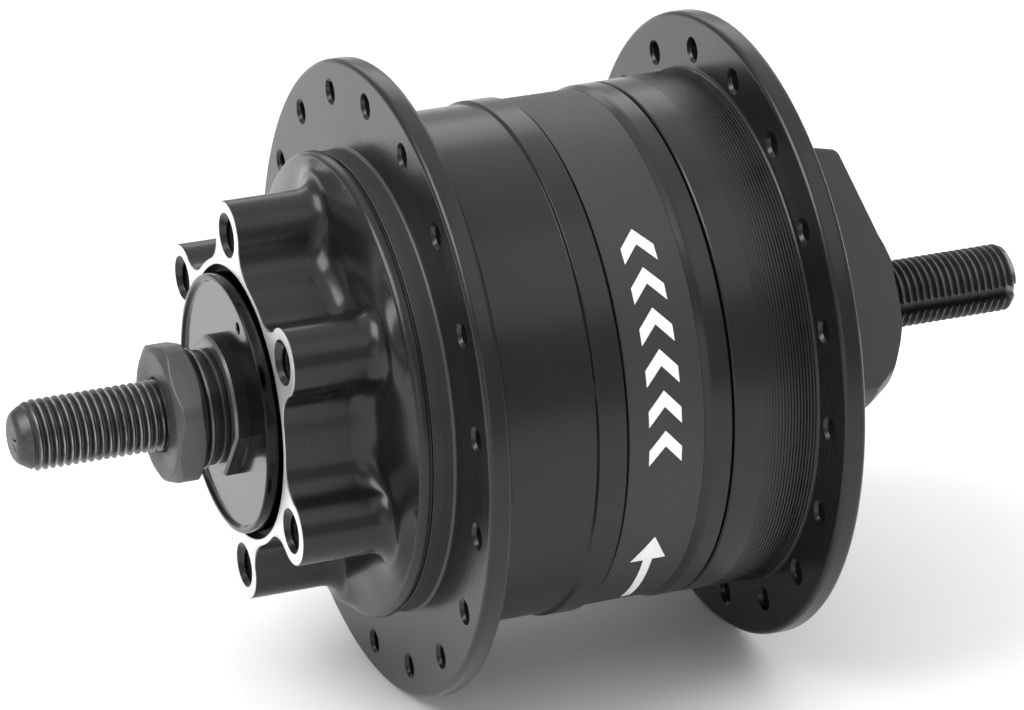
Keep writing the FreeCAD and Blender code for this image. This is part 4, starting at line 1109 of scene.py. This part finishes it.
def arrow_line(side):
    """One side of the arrow, from its tail to its tip."""
    line = [(ARROW_SHOULDER + (ARROW_TAIL - ARROW_SHOULDER) * share,
             SLEEVE_MARK_MIDDLE + ARROW_LEAN * share + side * ARROW_HALF_SHAFT)
            for share in np.linspace(1, 0, 16)]
    for share in np.linspace(0, 1, 8):
        angle = ARROW_SHOULDER + (ARROW_TIP - ARROW_SHOULDER) * share
        half = ARROW_HALF_HEAD * (1 - share) + 0.05 * share
        line.append((angle + 0.02, SLEEVE_MARK_MIDDLE + side * half))
    return line


def chevron_lines(first_angle):
    """The two sides of one plain chevron that points the way the wheel turns."""
    lines = ([], [])
    for share in np.linspace(-1, 1, 17):
        station = SLEEVE_MARK_MIDDLE + CHEVRON_HALF_HEIGHT * share
        lead = first_angle + CHEVRON_POINT * (1 - abs(share))
        lines[0].append((lead, station))
        lines[1].append((lead + CHEVRON_WIDTH, station))
    return lines


def make_print():
    """Generic print on the sleeve: the arrow that shows the turning direction, and plain chevrons."""
    reach = radius("label_band")
    shapes = [ink_shape(arrow_line(-1), arrow_line(1), reach)]
    for number in range(CHEVRON_COUNT):
        left, right = chevron_lines(CHEVRON_FIRST + number * CHEVRON_STEP)
        shapes.append(ink_shape(left, right, reach))
    return new_piece("direction_print", shapes, ["white_ink"], "hub_body")


# ---------------- the connector side

CAP_RADIUS = 14.5
CAP_HALF_WIDTH = 8.0
CAP_FLAT_FRONT = 37.6
CAP_SHOULDER = 44.6
CAP_MID_RADIUS = 12.6
CAP_MID = 47.4
CAP_TOP_RADIUS = 10.2
CAP_TOP = 48.9
CAP_FACE_RADIUS = 8.9
ARM_LEAN = 28.0
ARM_TOP = 21.3
ARM_BEND = 44.8
ARM_BEND_HEIGHT = 19.5
ARM_ROOT = 49.2
ARM_ROOT_HEIGHT = 4.9
CAP_EDGE = 0.7
ARM_CORNER = 0.9
SOCKET_HALF_WIDTH = 6.0
SOCKET_FRONT = 37.5
SOCKET_BACK = 41.75
SOCKET_FLOOR = 5.0
WIRE_WAY = (4.45, 5.97)
WIRE_WAY_FLOOR = -4.6
WIRE_TURN_INNER = 2.9
WIRE_TURN_TOP = -1.5
WIRE_WAY_HALF = 0.9
NUT_SLOT_HALF = 1.0
NUT_SLOT_LENGTH = 2.0
NUT_SLOT_DEPTH = 1.2


def make_cap():
    """The connector cap: a round moulding with a flat-sided arm for the cable, which leans back."""
    start, end, _ = span("connector_cap")
    profile = rounded([
        (start, CAP_RADIUS), (CAP_SHOULDER, CAP_RADIUS, 0.8), (CAP_MID, CAP_MID_RADIUS, 1.5),
        (CAP_TOP, CAP_TOP_RADIUS, 1.0), (end, CAP_FACE_RADIUS),
    ], 5, closed=False)
    arm = rounded([
        (start, ARM_TOP), (ARM_BEND, ARM_BEND_HEIGHT, 1.4), (ARM_ROOT, ARM_ROOT_HEIGHT), (end, 0.0),
    ], 8, closed=False)

    def section_at(station, flats):
        reach = np.interp(station, profile[:, 0], profile[:, 1])
        height = np.interp(station, arm[:, 0], arm[:, 1])
        inset = CAP_EDGE * rim_loss((station - start) / CAP_EDGE)
        return [(across, station, up) for across, up in cap_section(reach, height, flats, inset)]

    stations = set(np.linspace(CAP_FLAT_FRONT, end, 90)) | set(profile[:, 0])
    stations = sorted(station for station in stations if station >= CAP_FLAT_FRONT)
    rows = [section_at(station, False) for station in np.linspace(start, start + CAP_EDGE, 7)]
    rows.append(section_at(CAP_FLAT_FRONT, False))
    rows += [section_at(station, True) for station in stations]
    grid = np.array(rows).transpose(1, 0, 2)
    body = Shape().add_grid(grid, closed=False)
    body.add_face(grid[:, 0]).add_face(grid[::-1, -1])
    cuts = [socket_cutter(), wire_way_cutter(), bore_cutter(start, end)]
    cuts = [[turned(cut, ARM_LEAN)] for cut in cuts]
    return new_piece("cap_moulded", [turned(body, ARM_LEAN)], ["cap_moulding"], "axle_assembly",
                     ["connector_cap"], cuts=cuts, sharp=40.0)


def rim_loss(share):
    """How much a rounded rim loses, as a part of its radius, at a share of that radius from its end."""
    share = min(max(share, 0.0), 1.0)
    return 1 - math.sqrt(1 - (1 - share) ** 2)


def cap_section(reach, height, flats, inset):
    """The cap's outline at one station: its points across the axle, from the bottom round to the bottom.
    Without flats the round part keeps its whole width beside the arm."""
    side = math.sqrt(reach ** 2 - CAP_HALF_WIDTH ** 2)
    top = max(height, side)
    half_turn = math.degrees(math.asin(CAP_HALF_WIDTH / reach))
    outline = [(*on_circle(reach, angle), 0.0) for angle in np.linspace(-90.0, -90.0 + half_turn, 15)[:-1]]
    outline.append((CAP_HALF_WIDTH, -side, 0.4))
    outline += [(CAP_HALF_WIDTH, up, 0.0) for up in np.linspace(-side, side, 33)[1:]]
    outline += [(CAP_HALF_WIDTH, up, 0.0) for up in np.linspace(side, top, 13)[1:-1]]
    outline.append((CAP_HALF_WIDTH, top, ARM_CORNER))
    for across in np.linspace(CAP_HALF_WIDTH - 1.7, 0.0, 10)[:-1]:
        outline.append((across, max(height, math.sqrt(reach ** 2 - across ** 2)), 0.0))
    half = rounded(outline + [(0.0, max(height, reach))], 6, closed=False)
    if not flats:
        beside = half[:, 0] > CAP_HALF_WIDTH - 1e-3
        whole = np.sqrt(np.maximum(reach ** 2 - half[:, 1] ** 2, 0.0))
        half[beside, 0] = np.maximum(whole[beside], CAP_HALF_WIDTH)
    other = half[-2:0:-1] * (-1, 1)
    section = np.concatenate((half, other))
    along = np.roll(section, -1, axis=0) - np.roll(section, 1, axis=0)
    outward = np.column_stack((along[:, 1], -along[:, 0]))
    length = np.maximum(np.linalg.norm(along, axis=1), 1e-9)
    return section - outward / length[:, None] * inset


def prism(corners, start, end):
    """A straight prism along the axle over an outline of (across, up) corners, for cutting."""
    grid = np.array([[(across, station, up) for station in (start, end)] for across, up in corners])
    shape = Shape().add_grid(grid, closed=False)
    return shape.add_face(grid[:, 0]).add_face(grid[::-1, 1])


def block(low, high):
    """A plain block between two corners, for cutting."""
    left, start, bottom = low
    right, end, top = high
    return prism([(left, bottom), (right, bottom), (right, top), (left, top)], start, end)


def socket_cutter():
    """The cable socket, open at the arm's top."""
    return block((-SOCKET_HALF_WIDTH, SOCKET_FRONT, SOCKET_FLOOR),
                 (SOCKET_HALF_WIDTH, SOCKET_BACK, ARM_TOP + 1.0))


def wire_way_cutter():
    """The narrow way the wire takes from the axle's keyway up to the socket."""
    middle = (SOCKET_FRONT + SOCKET_BACK) / 2
    inner, outer = WIRE_WAY
    top = SOCKET_FLOOR + 0.5
    return prism([
        (WIRE_TURN_INNER, WIRE_WAY_FLOOR), (outer, WIRE_WAY_FLOOR), (outer, top),
        (inner, top), (inner, WIRE_TURN_TOP), (WIRE_TURN_INNER, WIRE_TURN_TOP),
    ], middle - WIRE_WAY_HALF, middle + WIRE_WAY_HALF)


def bore_cutter(start, end):
    """The axle's bore and the round seat of the nut."""
    seat = front("right_locknut")
    seat_radius = radius("right_locknut") + FIT
    return lathe([
        (start - 1.0, 0), (start - 1.0, BORE), (seat, BORE), (seat, seat_radius),
        (end - 0.25, seat_radius, 0.1), (end + 1.0, seat_radius + 1.25), (end + 1.0, 0),
    ], 160, closed=False)


def make_right_locknut():
    """The round nut, with two slots for its key and broken edges."""
    start, end, reach = span("right_locknut")
    nut = lathe([
        (start, BORE), (start, reach, 0.15), (end - 0.5, reach, 0.15),
        (end, reach - 0.5, 0.15), (end, BORE + 0.4, 0.1), (end - 0.4, BORE, 0.1),
    ])
    inner, outer = reach - NUT_SLOT_LENGTH, reach + OVERRUN
    slots = [block((-NUT_SLOT_HALF, end - NUT_SLOT_DEPTH, low), (NUT_SLOT_HALF, end + OVERRUN, high))
             for low, high in ((inner, outer), (-outer, -inner))]
    return new_piece("locknut_right", [nut], ["nut_black_oxide"], "axle_assembly",
                     ["right_locknut"], cuts=[slots])


# ---------------- what stays from the CAD

KEPT = {
    "seal_rubber_skin": ["left_seal", "right_seal"],
    "cone_oiled_steel": ["right_cone"],
    "bearing_steel_polish": ["left_bearing_cup", "right_bearing_cup", "left_balls", "right_balls"],
    "brass_sheet": ["left_ball_retainer", "right_ball_retainer", "live_terminal", "ground_terminal"],
    "stator_plate": ["stator_core", "left_claw_yoke", "right_claw_yoke", "magnet_yoke_ring"],
    "nut_dark_plating": ["left_stator_nut", "right_stator_nut"],
    "bobbin_nylon": ["coil_bobbin"],
    "copper_winding": ["coil_winding"],
    "lead_sheath_skin": ["coil_lead"],
    "terminal_block_plastic": ["terminal_block"],
    "ferrite_magnet": ["magnet_1", "magnet_2", "magnet_3", "magnet_4"],
}


def paint_kept():
    """Gives every CAD node that stays visible its procedural material."""
    for name, nodes in KEPT.items():
        for node in nodes:
            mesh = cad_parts[node].data
            mesh.materials.clear()
            mesh.materials.append(material(name))


# ---------------- studio

AZIMUTH = 67.77
ELEVATION = 23.62
LENS = 182.6
CAMERA_DISTANCE = 668.69
AIM_RIGHT = -1.88
AIM_UP = -0.1
AIM_SHIFT = (0.0, 0.18, 0.0)
FLOOR_DROP = 0.3


def view_axes(azimuth, elevation):
    """The directions towards the camera, to its right and up, for an azimuth and elevation."""
    turn, lift = math.radians(azimuth), math.radians(elevation)
    towards = Vector((math.sin(turn) * math.cos(lift), -math.cos(turn) * math.cos(lift), math.sin(lift)))
    right = Vector((math.cos(turn), math.sin(turn), 0.0))
    return towards, right, towards.cross(right)


def put_facing(thing, towards, place):
    """Puts a camera or a light at a place, its back turned to a direction."""
    thing.location = place
    thing.rotation_euler = towards.to_track_quat("Z", "Y").to_euler()


def make_camera():
    towards, right, up = view_axes(AZIMUTH, ELEVATION)
    aim = Vector(AIM_SHIFT) + right * AIM_RIGHT + up * AIM_UP
    data = bpy.data.cameras.new("photo_view")
    data.lens = LENS
    data.sensor_width = 36.0
    data.clip_start = 0.05
    data.clip_end = 20.0
    camera = new_object("photo_view", data)
    put_facing(camera, towards, (aim + towards * CAMERA_DISTANCE) * MM)
    bpy.context.scene.camera = camera


def area_light(name, azimuth, elevation, distance, size, power):
    """A soft square light, placed by its direction from the hub, in metres."""
    towards, _, _ = view_axes(azimuth, elevation)
    data = bpy.data.lights.new(name, "AREA")
    data.shape = "RECTANGLE"
    data.size, data.size_y = size
    data.energy = power
    put_facing(new_object(name, data), towards, towards * distance)


LIGHTS = [
    ("overhead", 160.0, 84.0, 1.4, (2.6, 2.6), 13.0),
    ("over_left", 5.0, 48.0, 0.9, (0.7, 0.5), 7.4),
    ("over_right", 130.0, 50.0, 0.9, (0.8, 0.6), 0.7),
    ("back_card", 248.0, 30.0, 1.2, (1.4, 0.5), 3.2),
    ("front_fill", 60.0, 12.0, 1.3, (0.9, 0.6), 1.5),
]
WORLD_LEVEL = 0.60
FLOOR_HALF = 6.0


def make_studio():
    floor_level = cad_low.z / MM - FLOOR_DROP
    half = FLOOR_HALF / MM
    corners = [(-half, -half), (half, -half), (half, half), (-half, half)]
    mesh = build_mesh("studio_floor", [Shape().add_face([(*corner, floor_level) for corner in corners])])
    floor = new_object("studio_floor", mesh)
    mesh.materials.append(material("studio_paper"))
    world = bpy.data.worlds.new("studio")
    world.use_nodes = True
    sky = world.node_tree.nodes["Background"].inputs
    sky["Color"].default_value = grey(1.0)
    sky["Strength"].default_value = WORLD_LEVEL
    bpy.context.scene.world = world
    for name, azimuth, elevation, distance, size, power in LIGHTS:
        area_light(name, azimuth, elevation, distance, size, power)
    bpy.context.scene.view_settings.view_transform = "Standard"


make_hub_shell()
make_right_shell()
ring_piece("label_sleeve", "label_band", SLEEVE_FLOOR, (0.12, 0.08), FINE_COUNT, "label_sleeve",
           "hub_body")
make_print()
make_axle()
make_locknut()
ring_piece("lock_washer_left", "left_lock_washer", BORE, (0.14, 0.14), 160, "washer_steel",
           "axle_assembly")
make_spacer()
make_cone()
make_dust_cover()
make_cap()
make_right_locknut()
ring_piece("dust_cover_right", "right_dust_cover", BORE, (0.12, 0.12), 192, "right_cover_steel",
           "axle_assembly")
paint_kept()
make_studio()
make_camera()
